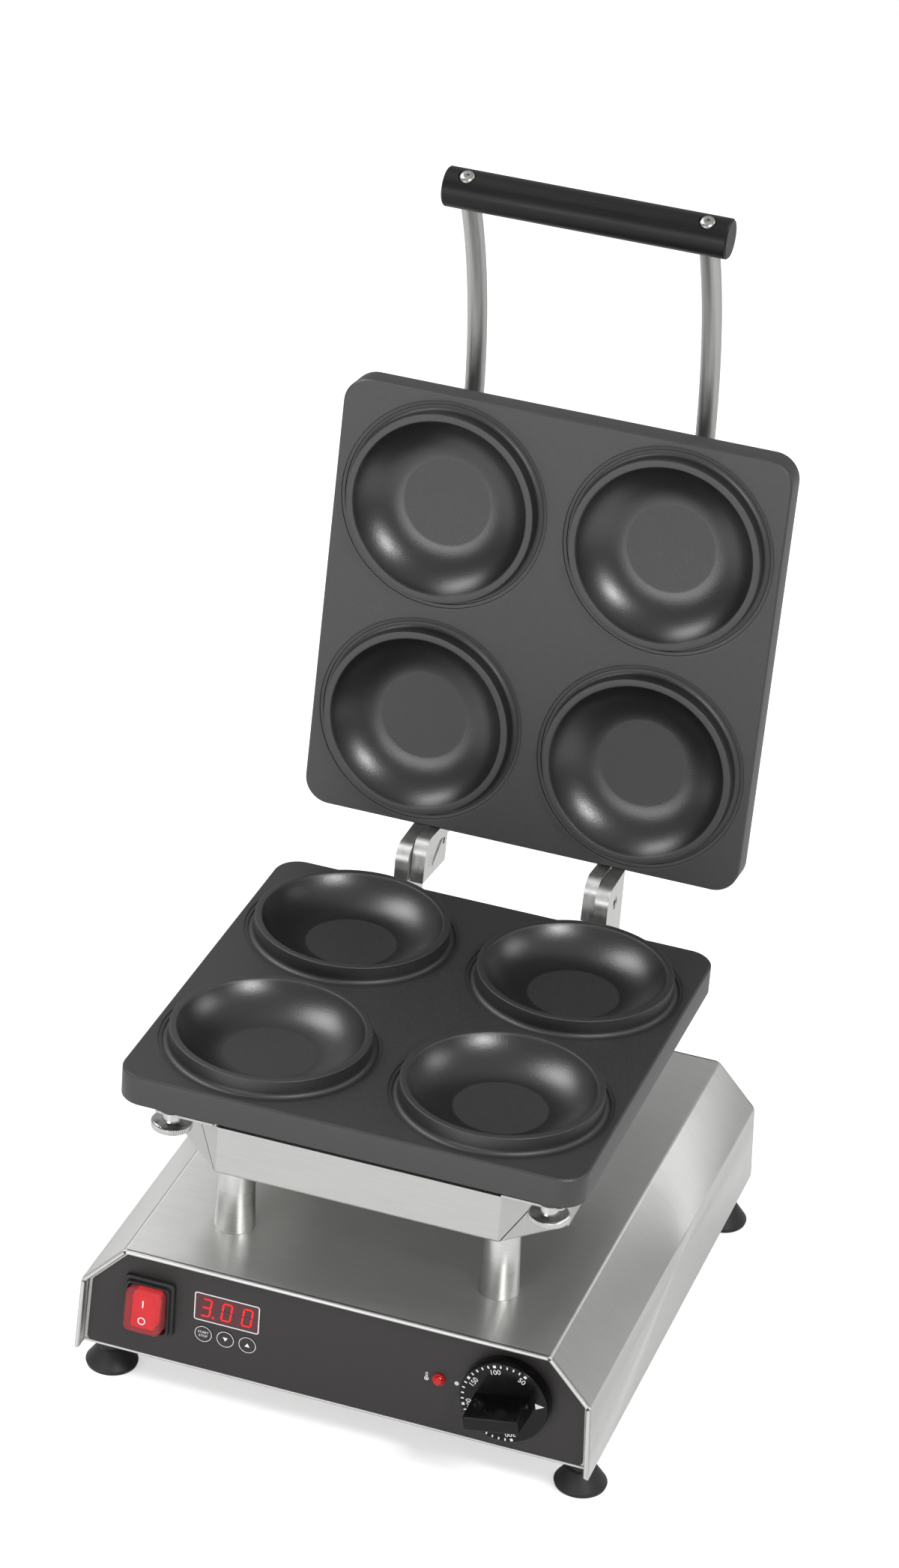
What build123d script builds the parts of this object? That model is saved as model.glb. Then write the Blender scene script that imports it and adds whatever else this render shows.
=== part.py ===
from build123d import *
from math import cos, radians, sin, sqrt, tan
import os

# Four-dish jaffle maker with a hinged lid, shown with the lid open against its stop.
# Frame: +X right, +Y to the rear, +Z up. The operator stands at -Y.
# Origin: on the counter, under the middle of the sheet-metal base. Sizes in millimetres.

# Base cover, one folded sheet: splayed side, chamfer, top, chamfer, side
base_depth = 353.0
cover_shoulder_width = 314.0
cover_chamfer_width = 26.25
cover_top_z = 105.0
cover_shoulder_z = 77.0
cover_bottom_z = 27.0
cover_splay = 3.0
cover_sheet = 1.2
hem_gap = 0.4
hem_depth = 9.0
hem_corner_gap = 1.4

# Chassis: front wall, floor and rear wall
panel_recess = 7.5
chassis_sheet = 1.5
chassis_clearance = 0.4
chassis_bottom_z = 29.5
chassis_bend_radius = 2.5

# Feet
foot_radius = 16.0
foot_neck_radius = 7.5
foot_shoulder_radius = 9.0
foot_rim_height = 2.5
foot_cone_height = 12.5
foot_side_inset = 9.5
foot_front_inset = 32.7
foot_rear_inset = 18.0
foot_screw_radius = 2.5

# Front film and what shows in it
film_thickness = 0.5
film_margin = 2.0
film_corner = 3.0
display_spacing = 47.8
display_drop = 30.5
display_margin_x = 0.8
display_margin_z = 0.5
display_corner = 0.8
window_gap = 0.05
module_width = 37.6
module_height = 17.0
cutout_gap = 0.3
key_pitch = 13.8
key_spacing = 18.7
key_radius = 5.6
key_gap = 0.15
key_travel = 0.3
key_thickness = 0.35
key_proud = 0.3
key_stem_radius = 1.75
key_stem_gap = 0.35
board_setback = 14.0
board_thickness = 1.6
board_width = 60.0
board_height = 44.0
relay_width = 19.0
relay_height = 28.0
relay_depth = 16.0
relay_inset = 4.0
transformer_width = 22.0
transformer_height = 28.0
transformer_depth = 18.0
transformer_inset = 4.0
tact_side = 6.0
tact_plunger_length = 2.0
tact_height = 5.0
tact_plunger_radius = 1.6
tact_slack = 0.05

# Splash-proof rocker switch
switch_inset = 41.7
switch_drop = 37.9
gasket_wall_x = 1.6
gasket_wall_z = 1.25
gasket_corner = 3.0
gasket_flange = 2.6
gasket_collar = 3.4
gasket_step = 1.8
gasket_side_gap = 0.4
gasket_swing_gap = 1.3
gasket_hole_corner = 3.2
boot_side_gap = 3.35
boot_end_gap = 2.1
boot_corner = 4.5
boot_wall = 1.2
boot_depth = 9.2
boot_reach = 13.0
rocker_width = 14.5
rocker_height = 22.0
rocker_pivot_behind = 3.0
boot_gap = 0.3
rocker_tilt = 7.0
rocker_corner = 1.5
rocker_well_gap = 0.6
rocker_well_end_gap = 1.8
rocker_well_depth = 12.0
switch_body_wall_x = 2.95
switch_body_wall_z = 2.0
switch_body_depth = 26.0
switch_body_proud = 1.2
blade_width = 6.0
blade_thickness = 0.8
blade_length = 9.0
blade_pitch_x = 10.0
blade_pitch_z = 9.0

# Pilot lamp
lamp_spacing = 42.0
lamp_drop = 38.7
lamp_radius = 3.9
lamp_proud = 3.2
lamp_rim = 0.5
lamp_edge = 0.9
lamp_barrel_length = 24.0
lamp_clip_rim = 1.6
lamp_clip_thickness = 1.5
lamp_flange = 1.4
barrel_gap = 0.1

# Thermostat and its knob
knob_inset = 50.9
knob_drop = 37.2
knob_radius = 26.7
knob_skirt = 8.6
knob_gap = 0.8
knob_wall = 1.8
knob_edge = 1.0
knob_bar_length = 33.5
knob_bar_root = 11.6
knob_bar_tip = 8.6
knob_bar_height = 24.0
knob_bar_round = 1.2
knob_hub_radius = 6.5
knob_off_angle = 10.5
shaft_radius = 3.0
shaft_length = 32.0
shaft_clearance = 0.06
shaft_depth_in_knob = 10.0
bush_radius = 5.0
bush_nut_radius = 8.0
thermostat_width = 52.0
thermostat_height = 34.0
thermostat_depth = 24.0
thermostat_setback = 4.0
thermostat_tab_width = 7.0
thermostat_tab_length = 9.0
thermostat_tab_thickness = 0.8
thermostat_tab_pitch = 12.0
capillary_radius = 1.0
capillary_offset = 24.1
capillary_entry_drop = 15.0
capillary_bend = 8.0
sensor_radius = 3.2
sensor_length = 70.0
sensor_gap = 0.3
sensor_lead = 12.0
sensor_lift = 0.4

# Lower tray, the heater housing; the lid carries its mirror image
tray_inset_x = 21.0
tray_inset_y = 30.2
tray_corner = 32.4
tray_height = 31.5
tray_sheet = 1.5
tray_flange = 7.0
tray_bend = 2.0
tray_seam_gap = 0.8
ear_overhang_x = 5.5
ear_overhang_y = 5.4
ear_corner = 4.0
ear_rise = 5.0
stud_edge_x = 9.5
stud_edge_y = 6.5
stud_radius = 3.0
stud_hole_radius = 3.4
stud_end = 3.0

# Cone legs between base and tray
leg_x = 82.0
leg_y = 81.0
leg_front_setback = 53.6
leg_height = 50.0
leg_foot_radius = 12.2
leg_head_radius = 9.8
leg_tube_radius = 5.0
leg_tube_bore = 3.3
leg_tube_clearance = 0.2
leg_nut_flats = 14.0
leg_nut_height = 5.0

# Heating block, element and insulation
block_margin = 3.0
block_height = 22.1
element_radius = 4.25
element_groove_gap = 0.15
element_run = 150.0
element_pitch = 32.0
element_runs = 5
element_tail = 14.0
element_lift = 0.3
insulation_height = 13.0
insulation_gap = 1.5
insulation_lift = 3.0

# Baking plates
plate_margin_x = 10.4
plate_margin_y = 9.7
plate_thickness = 18.7
plate_corner = 16.0
plate_edge = 1.0
dish_gap_x = 22.8
dish_gap_y = 20.8
dish_rim_radius = 59.1
rim_width = 4.2
dish_floor_radius = 27.0
dish_floor_drop = 7.5
bowl_bulge = 4.2
rim_height = 9.6
rim_edge = 0.6
rim_root_fillet = 3.0
moat_width = 3.7
moat_depth = 1.2
step_width = 2.2
step_depth = 0.5
closed_gap = 0.4
boss_radius = 8.0
boss_stud_depth = 14.0

# Knurled thumb nuts
nut_disc_radius = 12.2
nut_disc_thickness = 5.0
nut_stem_radius = 5.6
nut_stem_length = 5.8
nut_edge = 0.8
nut_gap = 0.1
nut_clearance = 0.05

# Hinge
hinge_setback = 17.9
hinge_rise = 9.5
lid_open_angle = 96.4
arm_thickness = 8.5
arm_inner_x = 51.0
arm_side_gap = 0.5
arm_plate_gap = 1.5
arm_above_pin = 14.0
arm_depth = 34.0
arm_corner = 10.0
arm_foot_rise = 3.5
arm_foot_height = 22.0
lid_arm_below_pin = 11.0
lid_arm_behind_pin = 11.5
lid_arm_shoulder = 22.6
lid_arm_neck = 9.5
lid_arm_foot_slope = 8.0
hinge_pin_radius = 4.0
hinge_pin_clearance = 0.05
hinge_socket_flats = 4.0
hinge_socket_depth = 3.0
stop_pin_radius = 1.8
stop_orbit = 7.6
stop_angle = 200.0
stop_groove_gap = 0.1
stop_reach = 4.0
stop_end_gap = 0.3
pocket_depth = 0.8
pocket_half = 7.0
pocket_shift = -0.5
pocket_low = 4.0
pocket_slope = 1.5
pocket_height = 20.0
pocket_hole_radius = 2.2
pocket_hole_rise = 26.0
pocket_hole_setback = 4.2
pocket_hole_depth = 3.0
arm_screw_radius = 2.5
arm_screw_head = 4.5
arm_screw_head_height = 4.0
screw_hole_gap = 0.2
arm_screw_length = 14.0
arm_screw_spacing = 12.0
arm_screw_inset = 5.0

# Handle
rod_x = 73.0
rod_radius = 6.0
rod_rise = 9.6
rod_bend_inset = 18.8
rod_bend_radius = 289.0
rod_bend_angle = 35.0
rod_straight = 22.0
rod_reach = 15.8
rod_hole_gap = 0.4
grip_radius = 12.0
grip_half_length = 86.6
grip_edge = 1.0
grip_tip_inset = 3.0
grip_screw_seat = 1.6
grip_screw_radius = 2.5
grip_screw_head = 4.75
grip_screw_head_height = 2.6
grip_screw_length = 24.0
rod_block_width = 20.0
rod_block_gap = 0.5

# Rear fittings
gland_radius = 9.0
gland_nut_radius = 11.0
gland_bore = 4.0
gland_length = 16.0
gland_flange = 6.0
gland_thread_radius = 7.5
gland_thread_length = 8.0
mains_gland_inset = 37.0
mains_gland_drop = 49.0
lead_gland_x = 0.0
lead_gland_inset = 60.0
gland_edge = 2.5
gland_locknut = 4.0
terminal_inset = 35.0
terminal_setback = 60.0
terminal_length = 52.0
terminal_width = 20.0
terminal_height = 16.0
terminal_poles = 5
terminal_pitch = 10.0
terminal_well_radius = 2.5
terminal_well_depth = 6.0
earth_gap = 30.0
earth_radius = 2.0
earth_length = 14.0
earth_nut_radius = 4.2
earth_nut_height = 3.2

parts = {}

base_front_y = -base_depth / 2
base_rear_y = base_depth / 2
base_half_width = cover_shoulder_width / 2
switch_x = switch_inset - base_half_width
switch_z = cover_top_z - switch_drop
boot_width = rocker_width + 2 * (boot_side_gap + boot_wall)
boot_height = rocker_height + 2 * (boot_end_gap + boot_wall)
gasket_width = boot_width + 2 * (gasket_side_gap + gasket_wall_x + gasket_step)
gasket_height = boot_height + 2 * (gasket_swing_gap + gasket_wall_z + gasket_step)
switch_body_width = rocker_width + 2 * (rocker_well_gap + switch_body_wall_x)
switch_body_height = rocker_height + 2 * (rocker_well_end_gap + switch_body_wall_z)
display_x = switch_x + display_spacing
display_z = cover_top_z - display_drop
display_width = module_width + 2 * display_margin_x
display_height = module_height + 2 * display_margin_z
key_z = display_z - key_spacing
knob_x = base_half_width - knob_inset
knob_z = cover_top_z - knob_drop
lamp_x = knob_x - lamp_spacing
lamp_z = cover_top_z - lamp_drop
lamp_barrel_radius = lamp_radius - lamp_rim
mains_gland_x = base_half_width - mains_gland_inset
mains_gland_z = cover_top_z - mains_gland_drop
terminal_x = base_half_width - terminal_inset - terminal_length
terminal_y = base_rear_y - terminal_setback - terminal_width
dish_pitch_x = 2 * dish_rim_radius + dish_gap_x
dish_pitch_y = 2 * dish_rim_radius + dish_gap_y
dish_mouth_radius = dish_rim_radius - rim_width
moat_radius = dish_rim_radius + moat_width
step_radius = moat_radius + step_width
plate_width = dish_pitch_x + 2 * (dish_rim_radius + plate_margin_x)
plate_depth = dish_pitch_y + 2 * (dish_rim_radius + plate_margin_y)
plate_centre_y = base_front_y + leg_front_setback + leg_y
tray_half_x = plate_width / 2 - tray_inset_x
tray_half_y = plate_depth / 2 - tray_inset_y
tray_bottom_z = cover_top_z + leg_height
tray_top_z = tray_bottom_z + tray_height
plate_top_z = tray_top_z + block_height + plate_thickness
ear_reach_x = tray_half_x + ear_overhang_x
ear_reach_y = tray_half_y + ear_overhang_y
stud_x = ear_reach_x - stud_edge_x
stud_y = ear_reach_y - stud_edge_y
wall_front_y = base_front_y + panel_recess
film_front_y = wall_front_y - film_thickness
wall_back_y = wall_front_y + chassis_sheet
parting_z = plate_top_z + rim_height + closed_gap / 2
plate_bottom_z = plate_top_z - plate_thickness
plate_rear_y = plate_centre_y + plate_depth / 2
arm_front_y = plate_rear_y + arm_plate_gap
tray_front_y = plate_centre_y - tray_half_y
tray_rear_y = plate_centre_y + tray_half_y
hinge_y = plate_rear_y + hinge_setback
hinge_z = plate_top_z + hinge_rise
hinge_axis = Axis((0, hinge_y, hinge_z), (1, 0, 0))
mirror_plane = Plane.XY.offset(parting_z)
ear_top_z = tray_top_z + ear_rise
ear_bottom_z = ear_top_z - tray_sheet
corner_signs = [(sx, sy) for sx in (-1, 1) for sy in (-1, 1)]


def box(x0, x1, y0, y1, z0, z1):
    """A block from its low and high corners."""
    return Pos((x0 + x1) / 2, (y0 + y1) / 2, (z0 + z1) / 2) * Box(x1 - x0, y1 - y0, z1 - z0)


def rod_along(direction, start, radius, length):
    """A cylinder that begins at start and runs along direction."""
    return extrude(Plane(origin=start, z_dir=direction) * Circle(radius), length)


def prism(points, y0, y1):
    """An outline in X and Z, extruded from y0 to y1."""
    face = make_face(Polyline(*[(x, 0, z) for x, z in points], close=True))
    return Pos(0, y0, 0) * extrude(face, amount=y1 - y0, dir=(0, 1, 0))


def side_plate(wire_points, x0, x1):
    """An outline in Y and Z, extruded from x0 to x1."""
    face = make_face(Polyline(*[(0, y, z) for y, z in wire_points], close=True))
    return Pos(x0, 0, 0) * extrude(face, amount=x1 - x0, dir=(1, 0, 0))


def rounded_block(width, height, corner, y0, y1, x=0.0, z=0.0):
    """A rounded rectangle in X and Z round (x, z), extruded from y0 to y1."""
    at = Plane(origin=(x, y0, z), x_dir=(1, 0, 0), z_dir=(0, 1, 0))
    return extrude(at * RectangleRounded(width, height, corner), y1 - y0)


def opened(shape):
    """A lid part turned from where it is designed, closed, to where it rests, open."""
    return shape.rotate(hinge_axis, -lid_open_angle)


def upper(shape):
    """The lid's counterpart of a lower part: its mirror image in the parting plane, opened."""
    return opened(mirror(shape, about=mirror_plane))


def mirrored_x(shape):
    return mirror(shape, about=Plane.YZ)


def group(*shapes):
    """Separate solids kept together in one node."""
    return Compound(children=[solid for shape in shapes for solid in shape.solids()])


def cover_points(inset):
    """The cover's section, moved inwards by inset: foot, shoulder and top corner, right then left."""
    shoulder_x = cover_shoulder_width / 2
    top_x = shoulder_x - cover_chamfer_width
    foot_x = shoulder_x + (cover_shoulder_z - cover_bottom_z) * tan(radians(cover_splay))
    side = Vector(shoulder_x - foot_x, cover_shoulder_z - cover_bottom_z)
    slope = Vector(top_x - shoulder_x, cover_top_z - cover_shoulder_z)
    side_n = Vector(-side.Y, side.X).normalized()
    slope_n = Vector(-slope.Y, slope.X).normalized()
    top_n = Vector(0, -1)
    foot = Vector(foot_x, cover_bottom_z) + side_n * inset
    foot = foot - side * ((foot.Y - cover_bottom_z) / side.Y)
    bisect_low = (side_n + slope_n) * (inset / (1 + side_n.dot(slope_n)))
    bisect_top = (slope_n + top_n) * (inset / (1 + slope_n.dot(top_n)))
    shoulder = Vector(shoulder_x, cover_shoulder_z) + bisect_low
    corner = Vector(top_x, cover_top_z) + bisect_top
    right = [(p.X, p.Y) for p in (foot, shoulder, corner)]
    return right + [(-x, z) for x, z in reversed(right)]


def cover_hem(start, end, front_y, inward_y):
    """The U-shaped hem along one straight stretch of the cover's edge, folded to the inside."""
    along = Vector(end[0] - start[0], 0, end[1] - start[1])
    length = along.length - 2 * hem_corner_gap
    along = along.normalized()
    inward = Vector(-along.Z, 0, along.X)
    thickness = 2 * cover_sheet + hem_gap
    origin = Vector(start[0], front_y, start[1]) + along * hem_corner_gap
    plane = Plane(origin=origin, x_dir=inward, z_dir=along)
    reach = inward_y * (1 if plane.y_dir.Y > 0 else -1)
    outer = Pos(thickness / 2, reach * thickness / 2) * Circle(thickness / 2)
    hollow = Pos(thickness / 2, reach * thickness / 2) * Circle(hem_gap / 2)
    half = Pos(thickness / 2, reach * thickness) * Rectangle(thickness, thickness)
    bend = outer - hollow - half
    straight = hem_depth - thickness / 2
    middle_y = reach * (thickness / 2 + straight / 2)
    flap = Pos(thickness - cover_sheet / 2, middle_y) * Rectangle(cover_sheet, straight)
    lead = Pos(cover_sheet / 2, reach * thickness) * Rectangle(cover_sheet, thickness)
    return extrude(plane * (bend + flap + lead), length)


def base_cover():
    thickness = 2 * cover_sheet + hem_gap
    shell = prism(cover_points(0), base_front_y + thickness / 2, base_rear_y - thickness / 2)
    inside = cover_points(cover_sheet)
    inside[0] = (inside[0][0], cover_bottom_z - 1)
    inside[-1] = (inside[-1][0], cover_bottom_z - 1)
    cover = shell - prism(inside, base_front_y - 1, base_rear_y + 1)
    outline = cover_points(0)
    for start, end in zip(outline, outline[1:]):
        cover += cover_hem(start, end, base_front_y, 1)
        cover += cover_hem(start, end, base_rear_y, -1)
    for sx, sy in corner_signs:
        cover -= rod_along((0, 0, 1), (sx * leg_x, plate_centre_y + sy * leg_y, cover_top_z - 5),
                           leg_tube_radius + leg_tube_clearance, 10)
    cover -= rod_along((0, 0, 1), (lead_gland_x, lead_gland_y, cover_top_z - 5), gland_thread_radius, 10)
    return cover


def panel_outline(inset, bottom_z):
    """The front wall's outline inside the cover's hem, moved inwards by inset."""
    hem = 2 * cover_sheet + hem_gap + chassis_clearance
    points = cover_points(hem + inset)
    foot_x, foot_z = points[0]
    shoulder_x, shoulder_z = points[1]
    slope = (foot_x - shoulder_x) / (shoulder_z - foot_z)
    low_x = shoulder_x + slope * (shoulder_z - bottom_z)
    right = [(low_x, bottom_z), points[1], points[2]]
    return right + [(-x, z) for x, z in reversed(right)]


def chassis():
    rear_wall_y = base_rear_y - panel_recess
    outer = box(-cover_shoulder_width, cover_shoulder_width, wall_front_y, rear_wall_y,
                chassis_bottom_z, cover_top_z + 10)
    outer = fillet(outer.edges().filter_by(Axis.X).group_by(Axis.Z)[0], chassis_bend_radius)
    inner = box(-cover_shoulder_width - 1, cover_shoulder_width + 1, wall_back_y, rear_wall_y - chassis_sheet,
                chassis_bottom_z + chassis_sheet, cover_top_z + 20)
    inner = fillet(inner.edges().filter_by(Axis.X).group_by(Axis.Z)[0], chassis_bend_radius - chassis_sheet)
    body = (outer - inner) & prism(panel_outline(0, chassis_bottom_z), base_front_y, base_rear_y)
    half_w = switch_body_width / 2 + cutout_gap
    half_h = switch_body_height / 2 + cutout_gap
    y0 = wall_front_y - 5
    y1 = wall_back_y + 5
    body -= box(switch_x - half_w, switch_x + half_w, y0, y1, switch_z - half_h, switch_z + half_h)
    half_w = module_width / 2 + cutout_gap
    half_h = module_height / 2 + cutout_gap
    body -= box(display_x - half_w, display_x + half_w, y0, y1, display_z - half_h, display_z + half_h)
    for column in (-1, 0, 1):
        at = (display_x + column * key_pitch, y0, key_z)
        body -= rod_along((0, 1, 0), at, key_stem_radius + key_stem_gap, y1 - y0)
    body -= rod_along((0, 1, 0), (lamp_x, y0, lamp_z), lamp_barrel_radius + barrel_gap, y1 - y0)
    body -= rod_along((0, 1, 0), (knob_x, y0, knob_z), bush_radius + barrel_gap, y1 - y0)
    body -= rod_along((0, 1, 0), (mains_gland_x, rear_wall_y - 5, mains_gland_z), gland_thread_radius, 10)
    for x, y in foot_places:
        body -= rod_along((0, 0, 1), (x, y, chassis_bottom_z - 2), foot_screw_radius + 0.2, 6)
    return body


def film():
    outline = prism(panel_outline(film_margin, chassis_bottom_z + film_margin), film_front_y, wall_front_y)
    corners = outline.edges().filter_by(Axis.Y)
    sheet = fillet(corners, film_corner)
    y0 = film_front_y - 2
    y1 = wall_front_y + 2
    sheet -= rounded_block(display_width, display_height, display_corner, y0, y1, display_x, display_z)
    for column in (-1, 0, 1):
        at = (display_x + column * key_pitch, y0, key_z)
        sheet -= rod_along((0, 1, 0), at, key_radius + key_gap, y1 - y0)
    sheet -= box(switch_x - switch_body_width / 2 - cutout_gap, switch_x + switch_body_width / 2
                 + cutout_gap, y0, y1, switch_z - switch_body_height / 2 - cutout_gap,
                 switch_z + switch_body_height / 2 + cutout_gap)
    sheet -= rod_along((0, 1, 0), (lamp_x, y0, lamp_z), lamp_barrel_radius + barrel_gap, y1 - y0)
    sheet -= rod_along((0, 1, 0), (knob_x, y0, knob_z), bush_radius + barrel_gap, y1 - y0)
    return sheet


def switch_gasket():
    """The rubber frame round the rocker: a flat flange with a narrower collar on it."""
    flange = rounded_block(gasket_width, gasket_height, gasket_corner,
                           film_front_y - gasket_flange, film_front_y, switch_x, switch_z)
    collar = rounded_block(gasket_width - 2 * gasket_step, gasket_height - 2 * gasket_step, gasket_corner,
                           film_front_y - gasket_flange - gasket_collar, film_front_y - gasket_flange,
                           switch_x, switch_z)
    hole = rounded_block(boot_width + 2 * gasket_side_gap, boot_height + 2 * gasket_swing_gap,
                         gasket_hole_corner, film_front_y - gasket_flange - gasket_collar - 1, body_front_y,
                         switch_x, switch_z)
    inner = box(switch_x - switch_body_width / 2 - 0.1, switch_x + switch_body_width / 2 + 0.1,
                film_front_y - 3, film_front_y + 3,
                switch_z - switch_body_height / 2 - 0.1, switch_z + switch_body_height / 2 + 0.1)
    frame = fillet((flange + collar).edges().group_by(Axis.Y)[0], 0.8)
    return frame - hole - inner


def switch_body():
    """The switch's housing behind the wall, open in front for the rocker, with its blade terminals."""
    y0 = body_front_y
    y1 = wall_back_y + switch_body_depth
    half_w = switch_body_width / 2
    half_h = switch_body_height / 2
    body = box(switch_x - half_w, switch_x + half_w, y0, y1, switch_z - half_h, switch_z + half_h)
    well_w = half_w - switch_body_wall_x
    well_h = half_h - switch_body_wall_z
    body -= box(switch_x - well_w, switch_x + well_w, y0 - 1, y0 + rocker_well_depth,
                switch_z - well_h, switch_z + well_h)
    for sx in (-1, 1):
        for row in (-1, 0):
            x = switch_x + sx * blade_pitch_x / 2
            z = switch_z + row * blade_pitch_z
            body += box(x - blade_thickness / 2, x + blade_thickness / 2, y1, y1 + blade_length,
                        z - blade_width / 2, z + blade_width / 2)
    return body


def rocker_pose(shape):
    """Tilts a rocker part, designed level, to its switched-on rest."""
    axis = Axis((switch_x, film_front_y + rocker_pivot_behind, switch_z), (1, 0, 0))
    return shape.rotate(axis, -rocker_tilt)


def switch_rocker():
    y0 = film_front_y - boot_reach + boot_wall + boot_gap
    y1 = film_front_y + rocker_pivot_behind + 1.5
    face = box(switch_x - rocker_width / 2, switch_x + rocker_width / 2, y0, y1,
               switch_z - rocker_height / 2, switch_z + rocker_height / 2)
    face = fillet(face.edges().filter_by(Axis.Y), rocker_corner)
    return rocker_pose(face)


def switch_boot():
    """The clear splash cap over the rocker, open at the back."""
    y0 = film_front_y - boot_reach
    y1 = y0 + boot_depth
    cap = rounded_block(boot_width, boot_height, boot_corner, y0, y1, switch_x, switch_z)
    cap = fillet(cap.edges().group_by(Axis.Y)[0], 1.6)
    cavity = rounded_block(boot_width - 2 * boot_wall, boot_height - 2 * boot_wall, boot_corner - boot_wall,
                           y0 + boot_wall, y1 + 1, switch_x, switch_z)
    return rocker_pose(cap - cavity)


def display_window():
    return rounded_block(display_width - 2 * window_gap, display_height - 2 * window_gap, display_corner,
                         film_front_y, wall_front_y, display_x, display_z)


def display_module():
    return box(display_x - module_width / 2, display_x + module_width / 2, wall_front_y, board_front_y,
               display_z - module_height / 2, display_z + module_height / 2)


def timer_board():
    """The timer's board with its relay, transformer and one small push switch behind each key."""
    y0 = board_front_y
    y1 = y0 + board_thickness
    board = box(display_x - board_width / 2, display_x + board_width / 2, y0, y1,
                board_z - board_height / 2, board_z + board_height / 2)
    for column in (-1, 0, 1):
        x = display_x + column * key_pitch
        board += box(x - tact_side / 2, x + tact_side / 2, tact_tip_y + tact_plunger_length, y0,
                     key_z - tact_side / 2, key_z + tact_side / 2)
        board += rod_along((0, 1, 0), (x, tact_tip_y, key_z), tact_plunger_radius, tact_plunger_length)
    relay_x = display_x - board_width / 2 + relay_inset
    board += box(relay_x, relay_x + relay_width, y1, y1 + relay_depth,
                 board_z - relay_height / 2, board_z + relay_height / 2)
    transformer_x = display_x + board_width / 2 - transformer_inset
    board += box(transformer_x - transformer_width, transformer_x, y1, y1 + transformer_depth,
                 board_z - transformer_height / 2, board_z + transformer_height / 2)
    return board


def key(column):
    x = display_x + column * key_pitch
    back_y = film_front_y - key_proud + key_thickness
    pad = rod_along((0, 1, 0), (x, back_y - key_thickness, key_z), key_radius, key_thickness)
    stem_length = tact_tip_y - key_travel - tact_slack - back_y
    stem = rod_along((0, 1, 0), (x, back_y, key_z), key_stem_radius, stem_length)
    return pad + stem


def pilot_lamp_lens():
    """A flanged lens with a low dome."""
    flange = rod_along((0, -1, 0), (lamp_x, film_front_y, lamp_z), lamp_radius, lamp_flange)
    dome = rod_along((0, -1, 0), (lamp_x, film_front_y - lamp_flange, lamp_z), lamp_radius - lamp_rim,
                     lamp_proud - lamp_flange)
    dome = chamfer(dome.edges().group_by(Axis.Y)[0], lamp_edge)
    return flange + dome


def pilot_lamp_body():
    barrel = rod_along((0, 1, 0), (lamp_x, film_front_y, lamp_z), lamp_barrel_radius, lamp_barrel_length)
    clip = rod_along((0, 1, 0), (lamp_x, wall_back_y, lamp_z), lamp_barrel_radius + lamp_clip_rim,
                     lamp_clip_thickness)
    return barrel + clip


def knob_pose(shape):
    """Turns a knob part, designed with its bar level, to the heat it is set to."""
    return shape.rotate(Axis((knob_x, 0, knob_z), (0, -1, 0)), knob_off_angle)


def thermostat_knob():
    """A flat skirted disc with a tall tapering grip bar and a hub for the shaft."""
    back_y = film_front_y - knob_gap
    face_y = back_y - knob_skirt
    tip_y = face_y - knob_bar_height
    disc = rod_along((0, -1, 0), (knob_x, back_y, knob_z), knob_radius, knob_skirt)
    disc = chamfer(disc.edges().group_by(Axis.Y)[0], knob_edge)
    disc -= rod_along((0, -1, 0), (knob_x, back_y, knob_z), knob_radius - knob_wall, knob_skirt - knob_wall)
    root = Plane(origin=(knob_x, face_y + 0.5, knob_z), x_dir=(1, 0, 0), z_dir=(0, -1, 0)) * RectangleRounded(
        knob_bar_length, knob_bar_root, knob_bar_round)
    tip = Plane(origin=(knob_x, tip_y, knob_z), x_dir=(1, 0, 0), z_dir=(0, -1, 0)) * RectangleRounded(
        knob_bar_length, knob_bar_tip, knob_bar_round)
    bar = loft([root, tip])
    hub = rod_along((0, -1, 0), (knob_x, back_y - 1.0, knob_z), knob_hub_radius, knob_skirt - 2.0)
    bore = rod_along((0, -1, 0), (knob_x, back_y, knob_z), shaft_radius, shaft_grip)
    return knob_pose(disc + bar + hub - bore)


def thermostat_shaft():
    tip_y = film_front_y - knob_gap - shaft_grip
    return knob_pose(rod_along((0, 1, 0), (knob_x, tip_y, knob_z), shaft_radius, shaft_length))


def thermostat_body():
    y0 = wall_back_y + thermostat_setback
    y1 = y0 + thermostat_depth
    can = box(knob_x - thermostat_width / 2, knob_x + thermostat_width / 2, y0, y1,
              knob_z - thermostat_height / 2, knob_z + thermostat_height / 2)
    bush = rod_along((0, 1, 0), (knob_x, film_front_y, knob_z), bush_radius, y0 - film_front_y)
    at = Plane(origin=(knob_x, wall_back_y, knob_z), z_dir=(0, 1, 0))
    nut = extrude(at * RegularPolygon(bush_nut_radius, 6), thermostat_setback)
    tip_y = film_front_y - knob_gap - shaft_grip
    bore = rod_along((0, 1, 0), (knob_x, tip_y - 1, knob_z), shaft_radius + shaft_clearance, shaft_length + 2)
    tab_z = knob_z + thermostat_tab_pitch / 2
    tab = box(knob_x - 2 * thermostat_tab_width, knob_x - thermostat_tab_width,
              y1, y1 + thermostat_tab_length, tab_z - thermostat_tab_thickness, tab_z)
    tabs = tab + Pos(0, 0, -thermostat_tab_pitch) * tab
    return can + bush + nut + tabs - bore


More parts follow.
